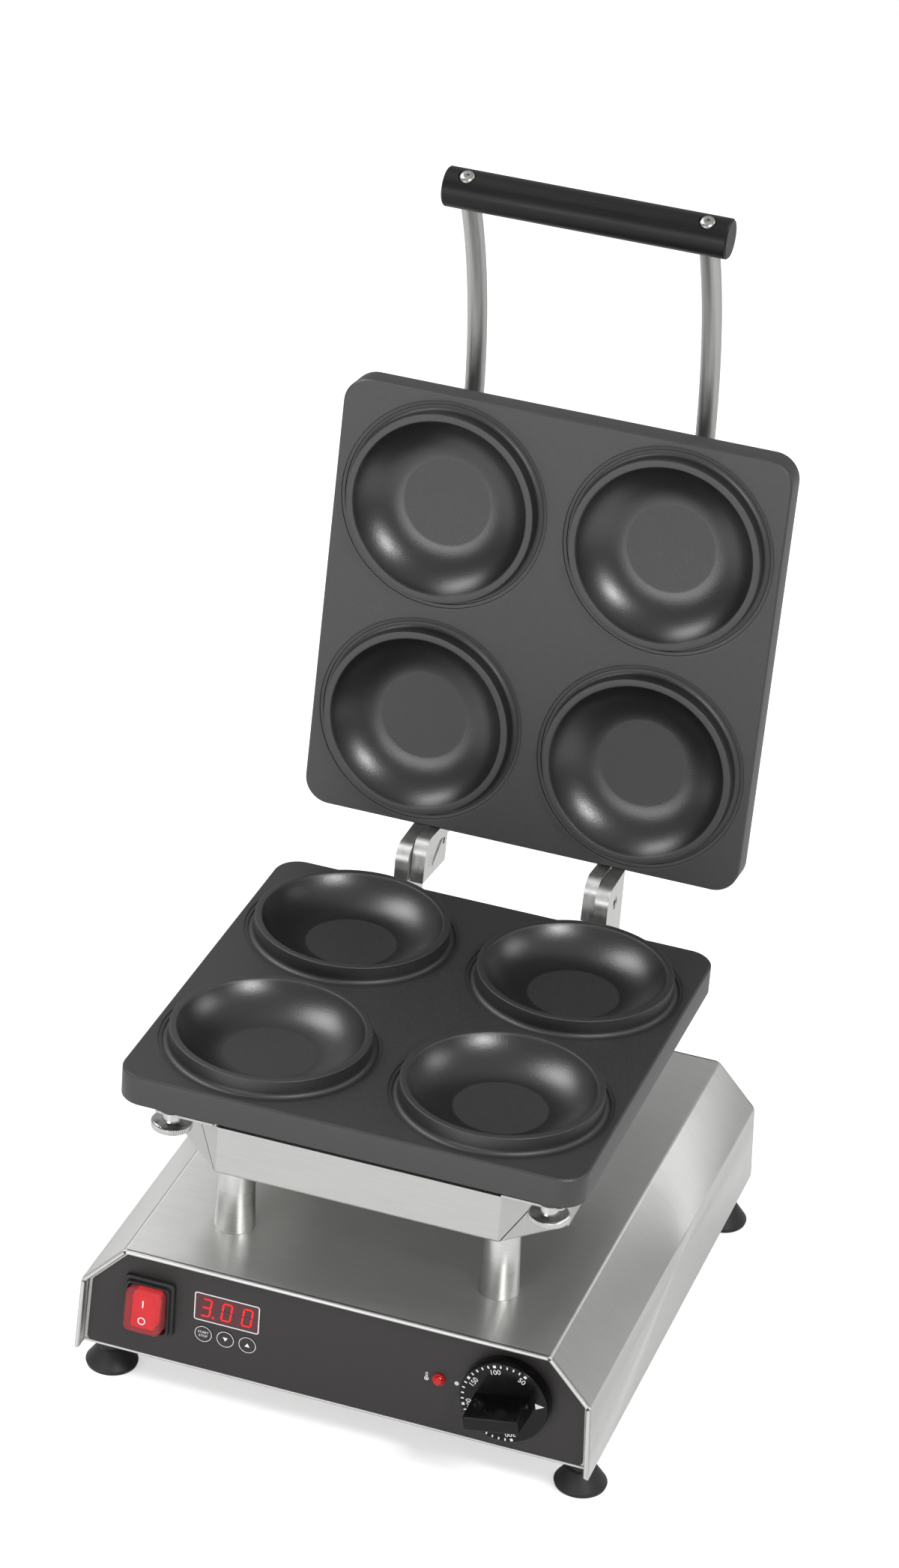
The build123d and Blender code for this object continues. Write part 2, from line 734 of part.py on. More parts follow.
def sensor_capillary():
    """The thermostat's sensing bulb in the lower heating block and the fine tube that leads to it."""
    lift_y = plate_centre_y - leg_y
    bulb_x = leg_x - sensor_lead
    start = (knob_x - capillary_offset, wall_back_y + thermostat_setback + thermostat_depth, knob_z)
    entry = (leg_x, lift_y, cover_top_z - capillary_entry_drop)
    bend = Spline(start, entry, tangents=((0, 1, 0), (0, 0, 1)))
    corner = (leg_x, lift_y, sensor_z)
    path = bend + FilletPolyline(entry, corner, (bulb_x, lift_y, sensor_z), radius=capillary_bend)
    tube = sweep(Plane(origin=start, z_dir=(0, 1, 0)) * Circle(capillary_radius), path=path)
    bulb = rod_along((-1, 0, 0), (bulb_x, lift_y, sensor_z), sensor_radius, sensor_length)
    return tube + bulb


def terminal_block():
    z0 = chassis_bottom_z + chassis_sheet
    z1 = z0 + terminal_height
    block = box(terminal_x, terminal_x + terminal_length, terminal_y, terminal_y + terminal_width, z0, z1)
    first_x = terminal_x + (terminal_length - (terminal_poles - 1) * terminal_pitch) / 2
    for pole in range(terminal_poles):
        well = (first_x + pole * terminal_pitch, terminal_y + terminal_width / 2, z1 - terminal_well_depth)
        block -= rod_along((0, 0, 1), well, terminal_well_radius, terminal_well_depth + 1)
    return block


def earth_stud():
    z0 = chassis_bottom_z + chassis_sheet
    at = (terminal_x - earth_gap, terminal_y + terminal_width / 2, z0)
    screw = rod_along((0, 0, 1), at, earth_radius, earth_length)
    nut = extrude(Plane(origin=at, z_dir=(0, 0, 1)) * RegularPolygon(earth_nut_radius, 6), earth_nut_height)
    return screw + nut


def gland(origin, direction, sheet):
    """A cable gland: domed nut outside, thread through the sheet, locknut inside."""
    at = Plane(origin=origin, z_dir=direction)
    collar = extrude(at * RegularPolygon(gland_nut_radius, 6), gland_flange)
    dome = extrude(at.offset(gland_flange) * Circle(gland_radius), gland_length - gland_flange)
    dome = chamfer(dome.edges().filter_by(GeomType.CIRCLE).sort_by(
        lambda edge: (edge.center() - Vector(*origin)).dot(Vector(*direction)))[-1], gland_edge)
    thread = extrude(at.offset(-sheet - gland_thread_length) * Circle(gland_thread_radius),
                     sheet + gland_thread_length)
    locknut = extrude(at.offset(-sheet - gland_locknut) * RegularPolygon(gland_nut_radius, 6), gland_locknut)
    reach = gland_thread_length + sheet + 1
    bore = extrude(at.offset(-reach) * Circle(gland_bore), gland_length + reach + 1)
    return collar + dome + thread + locknut - bore


def rubber_foot(x, y):
    """A rubber foot: a flared cone on a narrow neck, hollow for its screw."""
    top_z = chassis_bottom_z
    outline = Polyline((foot_screw_radius, 0), (foot_radius - 0.8, 0), (foot_radius, foot_rim_height),
                       (foot_shoulder_radius, foot_cone_height), (foot_neck_radius, foot_cone_height + 1),
                       (foot_neck_radius, top_z), (foot_screw_radius, top_z), close=True)
    face = make_face(Plane.XZ * outline)
    return Pos(x, y, 0) * revolve(face, Axis.Z)


def foot_screw(x, y):
    shank = rod_along((0, 0, 1), (x, y, 5), foot_screw_radius, chassis_bottom_z + chassis_sheet + 3)
    nut_z = chassis_bottom_z + chassis_sheet
    nut = extrude(Plane(origin=(x, y, nut_z), z_dir=(0, 0, 1)) * RegularPolygon(4.6, 6), 4)
    return shank + nut


def cone_leg(x, y):
    cone = Pos(x, y, (cover_top_z + tray_bottom_z) / 2) * Cone(leg_foot_radius, leg_head_radius,
                                                             tray_bottom_z - cover_top_z)
    return cone - rod_along((0, 0, 1), (x, y, cover_top_z - 1), leg_tube_radius + leg_tube_clearance,
                            tray_bottom_z - cover_top_z + 2)


def leg_bolt(x, y):
    """The threaded tube through a leg, with a nut in the tray and one under the cover."""
    low_nut_z = cover_top_z - cover_sheet - leg_nut_height
    high_nut_z = tray_bottom_z + tray_sheet
    tube_top_z = high_nut_z + leg_nut_height + 2
    tube = rod_along((0, 0, 1), (x, y, low_nut_z - 2), leg_tube_radius, tube_top_z - low_nut_z + 2)
    for z in (low_nut_z, high_nut_z):
        at = Plane(origin=(x, y, z), z_dir=(0, 0, 1))
        flats = at * RegularPolygon(leg_nut_flats / 2, 6, major_radius=False)
        tube += extrude(flats, leg_nut_height)
    return tube - rod_along((0, 0, 1), (x, y, low_nut_z - 3), leg_tube_bore, high_nut_z - low_nut_z + 20)


def octagon(half_x, half_y, corner):
    """A rectangle round the plate's centre with its corners cut at 45 degrees."""
    right = [(half_x - corner, -half_y), (half_x, -half_y + corner), (half_x, half_y - corner),
             (half_x - corner, half_y)]
    points = right + [(-x, y) for x, y in reversed(right)]
    return make_face(Polyline(*[(x, y + plate_centre_y, 0) for x, y in points], close=True))


def tray(in_lid):
    """The folded tray with cut corners, mitred corner flaps, an inner flange and an ear at each corner.

    The lid's tray is drawn here in the lower one's place and mirrored later.
    """
    outer = Pos(0, 0, tray_bottom_z) * extrude(octagon(tray_half_x, tray_half_y, tray_corner),
                                               tray_top_z - tray_bottom_z)
    bends = outer.edges().group_by(Axis.Z)[0] + outer.edges().filter_by(Axis.Z)
    outer = fillet(bends, tray_bend)
    inner_corner = tray_corner - tray_sheet * (2 - sqrt(2))
    cavity = Pos(0, 0, tray_bottom_z + tray_sheet) * extrude(
        octagon(tray_half_x - tray_sheet, tray_half_y - tray_sheet, inner_corner), tray_top_z - tray_bottom_z)
    body = outer - cavity
    rim = octagon(tray_half_x - tray_sheet / 2, tray_half_y - tray_sheet / 2, tray_corner)
    hole_corner = tray_corner - tray_flange * (2 - sqrt(2))
    hole = octagon(tray_half_x - tray_flange, tray_half_y - tray_flange, hole_corner)
    body += Pos(0, 0, tray_top_z - tray_sheet) * extrude(rim - hole, tray_sheet)
    for sx, sy in corner_signs:
        body += ear(sx, sy)
        body -= stud_hole(sx, sy)
        body -= corner_seam(sx, sy)
        if not in_lid:
            body -= rod_along((0, 0, 1), (sx * leg_x, plate_centre_y + sy * leg_y, tray_bottom_z - 1),
                              leg_tube_radius + leg_tube_clearance, 5)
    for x in arm_middles(lid_arm_x if in_lid else fixed_arm_x):
        for z in arm_screw_heights:
            body -= rod_along((0, 1, 0), (x, tray_rear_y - 5, z), arm_screw_radius + screw_hole_gap, 10)
    if in_lid:
        wall_z = 2 * parting_z - rod_point(rod_bend_y - tray_front_y)
        for x in (-rod_x, rod_x):
            body -= rod_along((0, 1, 0), (x, tray_front_y - 5, wall_z), rod_radius + rod_hole_gap,
                              tray_flange + 6)
        body -= rod_along((0, 1, 0), (lead_gland_x, tray_rear_y - 5, lid_gland_z), gland_thread_radius, 10)
    return body


def corner_face(points, sx, sy):
    """A flat face from points given as for the corner at +X, +Y of the plate's centre."""
    return make_face(Polyline(*[(sx * x, plate_centre_y + sy * y, 0) for x, y in points], close=True))


def ear(sx, sy):
    """A corner ear that a plate stud passes through, on a riser that carries the corner flap up to it."""
    x_in = tray_half_x - tray_corner + 1
    y_in = tray_half_y - tray_corner + 1
    sheet = tray_sheet / sqrt(2)
    outer_a = (x_in, tray_half_y - 1)
    outer_b = (tray_half_x - 1, y_in)
    inner_a = (outer_a[0] - sheet, outer_a[1] - sheet)
    inner_b = (outer_b[0] - sheet, outer_b[1] - sheet)
    riser_face = corner_face([outer_a, outer_b, inner_b, inner_a], sx, sy)
    riser = extrude(riser_face, amount=ear_rise + tray_sheet, dir=(0, 0, 1))
    riser = Pos(0, 0, tray_top_z - tray_sheet) * riser
    points = [(x_in, ear_reach_y), (ear_reach_x, ear_reach_y), (ear_reach_x, y_in), inner_b, inner_a]
    plate = Pos(0, 0, ear_bottom_z) * extrude(corner_face(points, sx, sy), amount=tray_sheet, dir=(0, 0, 1))
    tip = Vector(sx * ear_reach_x, plate_centre_y + sy * ear_reach_y)
    outer_edge = plate.edges().filter_by(Axis.Z).sort_by(
        lambda edge: (edge.center().X - tip.X) ** 2 + (edge.center().Y - tip.Y) ** 2)[0]
    return fillet(outer_edge, ear_corner) + riser


def stud_hole(sx, sy):
    low = (sx * stud_x, plate_centre_y + sy * stud_y, ear_bottom_z - 1)
    return rod_along((0, 0, 1), low, stud_hole_radius, tray_sheet + 2)


def corner_seam(sx, sy):
    """The open mitre between two corner flaps, and the relief hole at the flap's lower tip."""
    x_in = tray_half_x - tray_corner
    y_in = tray_half_y - tray_corner
    foot = Vector(sx * x_in, plate_centre_y + sy * tray_half_y, tray_bottom_z)
    across = Vector(sx, -sy, 0).normalized()
    outward = Vector(sx, sy, 0).normalized()
    reach = tray_top_z - tray_bottom_z - tray_sheet - 1
    rise = (across + Vector(0, 0, 1)).normalized()
    middle = foot + rise * (reach * sqrt(2) / 2) + outward * (-tray_sheet / 2)
    seam = Plane(origin=middle, x_dir=rise, z_dir=outward)
    slot = seam * Box(reach * sqrt(2), tray_seam_gap, 3 * tray_sheet)
    hole = rod_along(outward, Vector(sx * (tray_half_x - 1.5), plate_centre_y + sy * (y_in + 1.5),
                                     tray_bottom_z + 1.2) - outward * 3, 1.2, 6)
    return slot + hole


def element_path(z):
    """The serpentine of the heating element, seen from above."""
    half = element_run / 2
    first = -(element_runs - 1) / 2 * element_pitch
    points = [(-half - element_tail, plate_centre_y + first, z)]
    for row in range(element_runs):
        y = plate_centre_y + first + row * element_pitch
        ends = (-half, half) if row % 2 == 0 else (half, -half)
        points += [(x, y, z) for x in ends]
    points[1:2] = []
    points[-1] = (points[-1][0] + element_tail * (1 if element_runs % 2 else -1), points[-1][1], z)
    return FilletPolyline(*points, radius=element_pitch / 2 - 0.01)


def element_solid(radius):
    path = element_path(element_z)
    start = path @ 0
    tube = sweep(Plane(origin=start, z_dir=(1, 0, 0)) * Circle(radius), path=path)
    return tube


def heater_block():
    corner = tray_corner
    outline = octagon(tray_half_x - block_margin, tray_half_y - block_margin, corner)
    block = Pos(0, 0, tray_top_z) * extrude(outline, plate_bottom_z - tray_top_z)
    groove = element_solid(element_radius + element_groove_gap)
    slot = Pos(0, 0, -element_radius) * groove
    block = block - groove - slot
    channel = sensor_radius + sensor_gap
    channel_y = plate_centre_y - leg_y
    block -= box(leg_x - sensor_lead - sensor_length - 1, leg_x + 10,
                 channel_y - channel, channel_y + channel, tray_top_z - 1, sensor_z + channel)
    return block


def insulation(in_lid):
    """The mineral-wool pad, cut away round the legs, the screw heads and whatever else enters its tray."""
    z0 = tray_bottom_z + tray_sheet + leg_nut_height + insulation_lift
    pad = Pos(0, 0, z0) * extrude(octagon(tray_half_x - tray_sheet - insulation_gap,
                                          tray_half_y - tray_sheet - insulation_gap, tray_corner),
                                  insulation_height)
    z1 = z0 + insulation_height
    for sx, sy in corner_signs:
        if not in_lid:
            at = (sx * leg_x, plate_centre_y + sy * leg_y, z0 - 1)
            pad -= rod_along((0, 0, 1), at, leg_nut_flats / 2 + insulation_gap, insulation_height + 2)
    half = arm_screw_head + insulation_gap
    end_y = tray_rear_y - tray_sheet - arm_screw_head_height - insulation_gap
    for x in arm_middles(lid_arm_x if in_lid else fixed_arm_x):
        pad -= box(x - half, x + half, end_y, tray_rear_y, z0 - 1, z1 + 1)
    if in_lid:
        half = rod_block_width / 2 + insulation_gap
        end_y = rod_bend_y + rod_straight + insulation_gap
        for x in (-rod_x, rod_x):
            pad -= box(x - half, x + half, tray_front_y, end_y, z0 - 1, z1 + 1)
        half = gland_nut_radius + insulation_gap
        end_y = tray_rear_y - tray_sheet - gland_thread_length - insulation_gap
        pad -= box(lead_gland_x - half, lead_gland_x + half, end_y, tray_rear_y, z0 - 1, z1 + 1)
    return pad


def dish_add():
    """The raised rim ring of one dish, before its hollow is cut."""
    profile = Polyline((0, -1), (dish_rim_radius, -1), (dish_rim_radius, rim_height - rim_edge),
                       (dish_rim_radius - rim_edge, rim_height), (0, rim_height), close=True)
    return revolve(make_face(Plane.XZ * profile), Axis.Z)


def dish_cut():
    """The bowl of one dish: a spherical side down to a flat floor."""
    depth = rim_height + dish_floor_drop
    a = dish_mouth_radius
    b = dish_floor_radius
    bulge = Vector((a + b) / 2, rim_height - depth / 2)
    chord = Vector(a - b, depth)
    normal = Vector(chord.Y, -chord.X).normalized()
    middle = bulge + normal * bowl_bulge
    wall = ThreePointArc((a, rim_height), (middle.X, middle.Y), (b, rim_height - depth))
    rest = Polyline((b, rim_height - depth), (0, rim_height - depth), (0, rim_height + 1),
                    (a, rim_height + 1), (a, rim_height))
    return revolve(make_face(Plane.XZ * (wall + rest)), Axis.Z)


def moat_cut():
    """The stepped moat round the rim with a hollow fillet against the rim's root."""
    r0 = dish_rim_radius
    f = rim_root_fillet
    base = -moat_depth
    arc = RadiusArc((r0, base + f), (r0 + f, base), -f)
    if arc.center().X > r0 + f:
        arc = RadiusArc((r0, base + f), (r0 + f, base), f)
    rest = Polyline((r0 + f, base), (moat_radius, base), (moat_radius, -step_depth),
                    (step_radius, -step_depth), (step_radius, base + f), (r0, base + f))
    return revolve(make_face(Plane.XZ * (arc + rest)), Axis.Z)


def baking_plate():
    """The lower plate: rounded slab, four rimmed dishes and a cast boss at each corner underneath."""
    face = RectangleRounded(plate_width, plate_depth, plate_corner)
    slab = Pos(0, plate_centre_y, plate_bottom_z) * extrude(face, plate_thickness)
    slab = chamfer(slab.edges().group_by(Axis.Z)[-1], plate_edge)
    places = [Pos(sx * dish_pitch_x / 2, plate_centre_y + sy * dish_pitch_y / 2, plate_top_z)
              for sx, sy in corner_signs]
    ring = dish_add()
    moat = moat_cut()
    bowl = dish_cut()
    for place in places:
        slab -= place * moat
    for place in places:
        slab += place * ring
    for place in places:
        slab -= place * bowl
    for sx, sy in corner_signs:
        at = (sx * stud_x, plate_centre_y + sy * stud_y, ear_top_z)
        slab += rod_along((0, 0, 1), at, boss_radius, plate_bottom_z - ear_top_z + 1)
        slab -= rod_along((0, 0, 1), at, stud_radius, boss_stud_depth)
    return slab


def plate_stud(sx, sy):
    low_z = ear_bottom_z - nut_stem_length - nut_disc_thickness - stud_end
    at = (sx * stud_x, plate_centre_y + sy * stud_y, low_z)
    return rod_along((0, 0, 1), at, stud_radius, ear_top_z + boss_stud_depth - low_z)


def thumb_nut(sx, sy):
    """A knurled disc on a plain stem, threaded through."""
    top_z = ear_bottom_z - nut_gap
    disc_z = top_z - nut_stem_length - nut_disc_thickness
    x = sx * stud_x
    y = plate_centre_y + sy * stud_y
    disc = rod_along((0, 0, 1), (x, y, disc_z), nut_disc_radius, nut_disc_thickness)
    disc = chamfer(disc.edges().filter_by(GeomType.CIRCLE), nut_edge)
    stem = rod_along((0, 0, 1), (x, y, disc_z + nut_disc_thickness), nut_stem_radius, nut_stem_length)
    bore = rod_along((0, 0, 1), (x, y, disc_z - 1), stud_radius + nut_clearance, top_z - disc_z + 2)
    return disc + stem - bore


def arm_middles(span):
    """The X of a pair of arms, left and right, from the right arm's two faces."""
    middle = (span[0] + span[1]) / 2
    return (-middle, middle)


def fixed_arm():
    """The right-hand fixed arm: an upright behind the plate on a foot bolted to the tray's rear wall."""
    front = arm_front_y
    rear = front + arm_depth
    arm_top_z = hinge_z + arm_above_pin
    foot_top = arm_foot_z + arm_foot_height
    outline = [(tray_rear_y, arm_foot_z), (rear, arm_foot_z), (rear, arm_top_z), (front, arm_top_z),
               (front, foot_top), (tray_rear_y, foot_top)]
    x0, x1 = fixed_arm_x
    arm = side_plate(outline, x0, x1)
    crown = arm.edges().filter_by(Axis.X).sort_by(
        lambda edge: (edge.center().Y - front) ** 2 + (edge.center().Z - arm_top_z) ** 2)[0]
    arm = fillet(crown, arm_corner)
    heel = arm.edges().filter_by(Axis.X).sort_by(
        lambda edge: (edge.center().Y - rear) ** 2 + (edge.center().Z - arm_foot_z) ** 2)[0]
    arm = fillet(heel, arm_corner)
    arm -= rod_along((1, 0, 0), (x0 - 1, hinge_y, hinge_z), hinge_pin_radius, arm_thickness + 2)
    for z in arm_screw_heights:
        arm -= rod_along((0, 1, 0), (arm_middles(fixed_arm_x)[1], tray_rear_y - 1, z), arm_screw_radius,
                         arm_screw_length)
    stop_at = stop_point(0)
    arm -= rod_along((1, 0, 0), (x0 - 1, stop_at[0], stop_at[1]), stop_pin_radius, 6)
    return arm


def stop_point(turn):
    """Where on its orbit round the hinge the stop pin stands, after turn degrees about +X."""
    angle = radians(stop_angle + turn)
    return hinge_y + stop_orbit * cos(angle), hinge_z + stop_orbit * sin(angle)


def lid_arm():
    """The right-hand lid arm, closed: a hinge end, a neck behind the plate and a foot on the housing."""
    front = arm_front_y
    bottom_z = hinge_z - lid_arm_below_pin
    rear = hinge_y + lid_arm_behind_pin
    shoulder_z = plate_face_closed_z + lid_arm_shoulder
    low = 2 * parting_z - (arm_foot_z + arm_foot_height)
    high = 2 * parting_z - arm_foot_z
    neck_y = front + lid_arm_neck
    outline = [(front, bottom_z), (rear, bottom_z), (rear, shoulder_z), (neck_y, shoulder_z), (neck_y, high),
               (tray_rear_y, high), (tray_rear_y, low), (front - lid_arm_foot_slope, low),
               (front, low - lid_arm_foot_slope)]
    x0, x1 = lid_arm_x
    arm = side_plate(outline, x0, x1)
    crown = arm.edges().filter_by(Axis.X).sort_by(
        lambda edge: (edge.center().Y - front) ** 2 + (edge.center().Z - bottom_z) ** 2)[0]
    arm = fillet(crown, arm_corner)
    bore_radius = hinge_pin_radius + hinge_pin_clearance
    arm -= rod_along((1, 0, 0), (x0 - 1, hinge_y, hinge_z), bore_radius, arm_thickness + 2)
    for z in [2 * parting_z - height for height in arm_screw_heights]:
        arm -= rod_along((0, 1, 0), ((x0 + x1) / 2, tray_rear_y - 1, z), arm_screw_radius, arm_screw_length)
    arm -= stop_groove(x1)
    arm -= weight_pocket(x0)
    return arm


def stop_groove(face_x):
    """The arc groove that the stop pin runs in: its ends set how far the lid turns."""
    radius = stop_pin_radius + stop_groove_gap
    floor_x = face_x - stop_reach - stop_end_gap
    plane = Plane(origin=(floor_x, hinge_y, hinge_z), x_dir=(0, 1, 0), z_dir=(1, 0, 0))
    ring = Circle(stop_orbit + radius) - Circle(stop_orbit - radius)
    angles = [radians(stop_angle + part * lid_open_angle) for part in (0, 0.5, 1)]
    reach = 5 * stop_orbit
    wedge = make_face(Polyline((0, 0), *[(reach * cos(a), reach * sin(a)) for a in angles], close=True))
    groove = ring & wedge
    for a in (angles[0], angles[-1]):
        groove += Pos(stop_orbit * cos(a), stop_orbit * sin(a)) * Circle(radius)
    return extrude(plane * groove, stop_reach + 1)


def weight_pocket(face_x):
    """The shallow three-cornered recess milled in the arm's inner face beside the hinge."""
    front_y = hinge_y + pocket_shift - pocket_half
    low_z = hinge_z + pocket_low
    points = [(front_y, low_z), (hinge_y + pocket_shift + pocket_half, low_z + pocket_slope),
              (front_y, low_z + pocket_height)]
    pocket = side_plate(points, face_x - 1, face_x + pocket_depth)
    hole = rod_along((1, 0, 0), (face_x - 1, hinge_y - pocket_hole_setback, hinge_z + pocket_hole_rise),
                     pocket_hole_radius, pocket_hole_depth + 1)
    return pocket + hole


def hinge_pin():
    """The right-hand hinge pin: screwed through the fixed arm, with a hexagon socket outside."""
    x0 = lid_arm_x[0]
    x1 = fixed_arm_x[1] - 0.3
    pin = rod_along((1, 0, 0), (x0, hinge_y, hinge_z), hinge_pin_radius, x1 - x0)
    socket = Plane(origin=(x1 - hinge_socket_depth, hinge_y, hinge_z), z_dir=(1, 0, 0)) * RegularPolygon(
        hinge_socket_flats / 2, 6, major_radius=False)
    return pin - extrude(socket, hinge_socket_depth + 1)


def stop_pin():
    y, z = stop_point(0)
    x0 = lid_arm_x[1] - stop_reach
    return rod_along((1, 0, 0), (x0, y, z), stop_pin_radius, fixed_arm_x[0] - x0 + 4)


def cap_screw(origin, direction, head_radius, head_height, radius, length):
    """A socket screw: the head on this side of origin, the shank beyond it."""
    at = Plane(origin=origin, z_dir=direction)
    head = extrude(at.offset(-head_height) * Circle(head_radius), head_height)
    socket = extrude(at.offset(-head_height - 0.1) * RegularPolygon(head_radius * 0.5, 6), head_height * 0.6)
    shank = extrude(at * Circle(radius), length)
    return head + shank - socket


def arm_screws(x_span, heights):
    """The screws inside a tray's rear wall that hold a pair of arms."""
    inner_y = tray_rear_y - tray_sheet
    return [cap_screw((x, inner_y, z), (0, 1, 0), arm_screw_head, arm_screw_head_height, arm_screw_radius,
                      arm_screw_length) for x in arm_middles(x_span) for z in heights]


def rod_point(distance_forward):
    """Height of the handle rod's line, closed, at a distance in front of its bend's start."""
    angle = radians(rod_bend_angle)
    end = rod_bend_radius * sin(angle)
    if distance_forward <= end:
        return rod_z - (rod_bend_radius - sqrt(rod_bend_radius ** 2 - distance_forward ** 2))
    return rod_z - rod_bend_radius * (1 - cos(angle)) - (distance_forward - end) * tan(angle)


def handle_rod(x):
    """A bent rod: straight in its block, a wide bend downwards, then straight into the grip."""
    angle = radians(rod_bend_angle)
    start = (x, rod_bend_y + rod_straight, rod_z)
    bend = (x, rod_bend_y, rod_z)
    bend_end = (x, rod_bend_y - rod_bend_radius * sin(angle), rod_z - rod_bend_radius * (1 - cos(angle)))
    half = angle / 2
    bend_middle = (x, rod_bend_y - rod_bend_radius * sin(half), rod_z - rod_bend_radius * (1 - cos(half)))
    tip = Vector(x, grip_y, grip_z) - rod_direction() * grip_tip_inset
    path = Line(start, bend) + ThreePointArc(bend, bend_middle, bend_end) + Line(bend_end, tip)
    rod = sweep(Plane(origin=start, z_dir=(0, -1, 0)) * Circle(rod_radius), path=path)
    return rod - rod_along(-rod_direction(), tip, grip_screw_radius, grip_screw_length)


def grip():
    bar = rod_along((1, 0, 0), (-grip_half_length, grip_y, grip_z), grip_radius, 2 * grip_half_length)
    bar = chamfer(bar.edges().filter_by(GeomType.CIRCLE), grip_edge)
    direction = rod_direction()
    for x in (-rod_x, rod_x):
        tip = Vector(x, grip_y, grip_z) - direction * grip_tip_inset
        bar -= rod_along(-direction, tip, rod_radius, grip_radius)
        bar -= rod_along(direction, tip, grip_screw_radius, grip_radius * 2)
        seat = Vector(x, grip_y, grip_z) + direction * (grip_radius - grip_screw_seat)
        bar -= rod_along(direction, seat, grip_screw_head + 0.4, 6)
    return bar


def rod_direction():
    """The way the rods point into the grip, closed: forwards and down."""
    angle = radians(rod_bend_angle)
    return Vector(0, -cos(angle), -sin(angle))


def grip_screw(x):
    """A button-head socket screw through the grip into the end of a rod."""
    direction = rod_direction()
    seat = Vector(x, grip_y, grip_z) + direction * (grip_radius - grip_screw_seat)
    return cap_screw(seat, -direction, grip_screw_head, grip_screw_head_height, grip_screw_radius,
                     grip_screw_length)


def rod_block(x):
    """The clamp block in the lid's housing that holds a rod's end."""
    y0 = rod_bend_y
    y1 = rod_bend_y + rod_straight
    z0 = 2 * parting_z - tray_top_z + rod_block_gap
    z1 = 2 * parting_z - tray_bottom_z - tray_sheet
    block = box(x - rod_block_width / 2, x + rod_block_width / 2, y0, y1, z0, z1)
    return block - rod_along((0, 1, 0), (x, y0 - 1, rod_z), rod_radius, rod_straight + 2)


# Values worked out from the sizes above
foot_places = [(sx * (base_half_width - foot_side_inset), y) for sx in (-1, 1)
               for y in (base_front_y + foot_front_inset, base_rear_y - foot_rear_inset)]
board_front_y = wall_back_y + board_setback
board_z = (display_z + key_z) / 2
body_front_y = film_front_y - switch_body_proud
tact_tip_y = board_front_y - tact_height
shaft_grip = knob_skirt + shaft_depth_in_knob
lid_arm_x = (arm_inner_x, arm_inner_x + arm_thickness)
fixed_arm_x = (lid_arm_x[1] + arm_side_gap, lid_arm_x[1] + arm_side_gap + arm_thickness)
arm_foot_z = tray_bottom_z + arm_foot_rise
arm_screw_heights = (arm_foot_z + arm_screw_inset, arm_foot_z + arm_screw_inset + arm_screw_spacing)
element_z = tray_top_z + element_radius + element_lift
sensor_z = tray_top_z + sensor_radius + sensor_lift
plate_face_closed_z = plate_top_z + 2 * rim_height + closed_gap
lead_gland_y = base_rear_y - lead_gland_inset
lid_gland_z = arm_foot_z + arm_foot_height / 2
rod_z = 2 * parting_z - tray_top_z + rod_rise
rod_bend_y = tray_front_y + rod_bend_inset
grip_run = rod_bend_radius * sin(radians(rod_bend_angle)) + rod_reach * cos(radians(rod_bend_angle))
grip_y = rod_bend_y - grip_run
grip_z = rod_point(grip_run)

parts["base_cover"] = base_cover()
parts["base_chassis"] = chassis()
parts["panel_film"] = film()
parts["switch_gasket"] = switch_gasket()
parts["switch_body"] = switch_body()
parts["switch_rocker"] = switch_rocker()
parts["switch_boot"] = switch_boot()
parts["display_window"] = display_window()
parts["display_module"] = display_module()
parts["timer_board"] = timer_board()
for name, column in (("key_start_stop", -1), ("key_down", 0), ("key_up", 1)):
    parts[name] = key(column)
parts["pilot_lamp_lens"] = pilot_lamp_lens()
parts["pilot_lamp_body"] = pilot_lamp_body()
parts["thermostat_knob"] = thermostat_knob()
parts["thermostat_shaft"] = thermostat_shaft()
parts["thermostat_body"] = thermostat_body()
parts["sensor_capillary"] = sensor_capillary()
parts["terminal_block"] = terminal_block()
parts["earth_stud"] = earth_stud()
gland_seat = (mains_gland_x, base_rear_y - panel_recess, mains_gland_z)
parts["mains_gland"] = gland(gland_seat, (0, 1, 0), chassis_sheet)
parts["base_lead_gland"] = gland((lead_gland_x, lead_gland_y, cover_top_z), (0, 0, 1), cover_sheet)
parts["rubber_feet"] = group(*[rubber_foot(x, y) for x, y in foot_places])
parts["foot_screws"] = group(*[foot_screw(x, y) for x, y in foot_places])
leg_places = [(sx * leg_x, plate_centre_y + sy * leg_y) for sx, sy in corner_signs]
parts["cone_legs"] = group(*[cone_leg(x, y) for x, y in leg_places])
parts["leg_bolts"] = group(*[leg_bolt(x, y) for x, y in leg_places])
parts["lower_tray"] = tray(in_lid=False)
parts["lower_insulation"] = insulation(in_lid=False)
parts["lower_heating_element"] = element_solid(element_radius)
parts["lower_heater_block"] = heater_block()
lower_plate = baking_plate()
parts["lower_baking_plate"] = lower_plate
parts["lower_plate_studs"] = group(*[plate_stud(sx, sy) for sx, sy in corner_signs])
corner_names = {(-1, -1): "front_left", (1, -1): "front_right", (-1, 1): "rear_left", (1, 1): "rear_right"}
for signs, corner_name in corner_names.items():
    parts["lower_thumb_nut_" + corner_name] = thumb_nut(*signs)
right_fixed_arm = fixed_arm()
parts["fixed_hinge_arm_right"] = right_fixed_arm
parts["fixed_hinge_arm_left"] = mirrored_x(right_fixed_arm)
parts["fixed_arm_screws"] = group(*arm_screws(fixed_arm_x, arm_screw_heights))
parts["hinge_pins"] = group(hinge_pin(), mirrored_x(hinge_pin()))
parts["lid_stop_pins"] = group(stop_pin(), mirrored_x(stop_pin()))
right_lid_arm = opened(lid_arm())
parts["lid_hinge_arm_right"] = right_lid_arm
parts["lid_hinge_arm_left"] = mirrored_x(right_lid_arm)
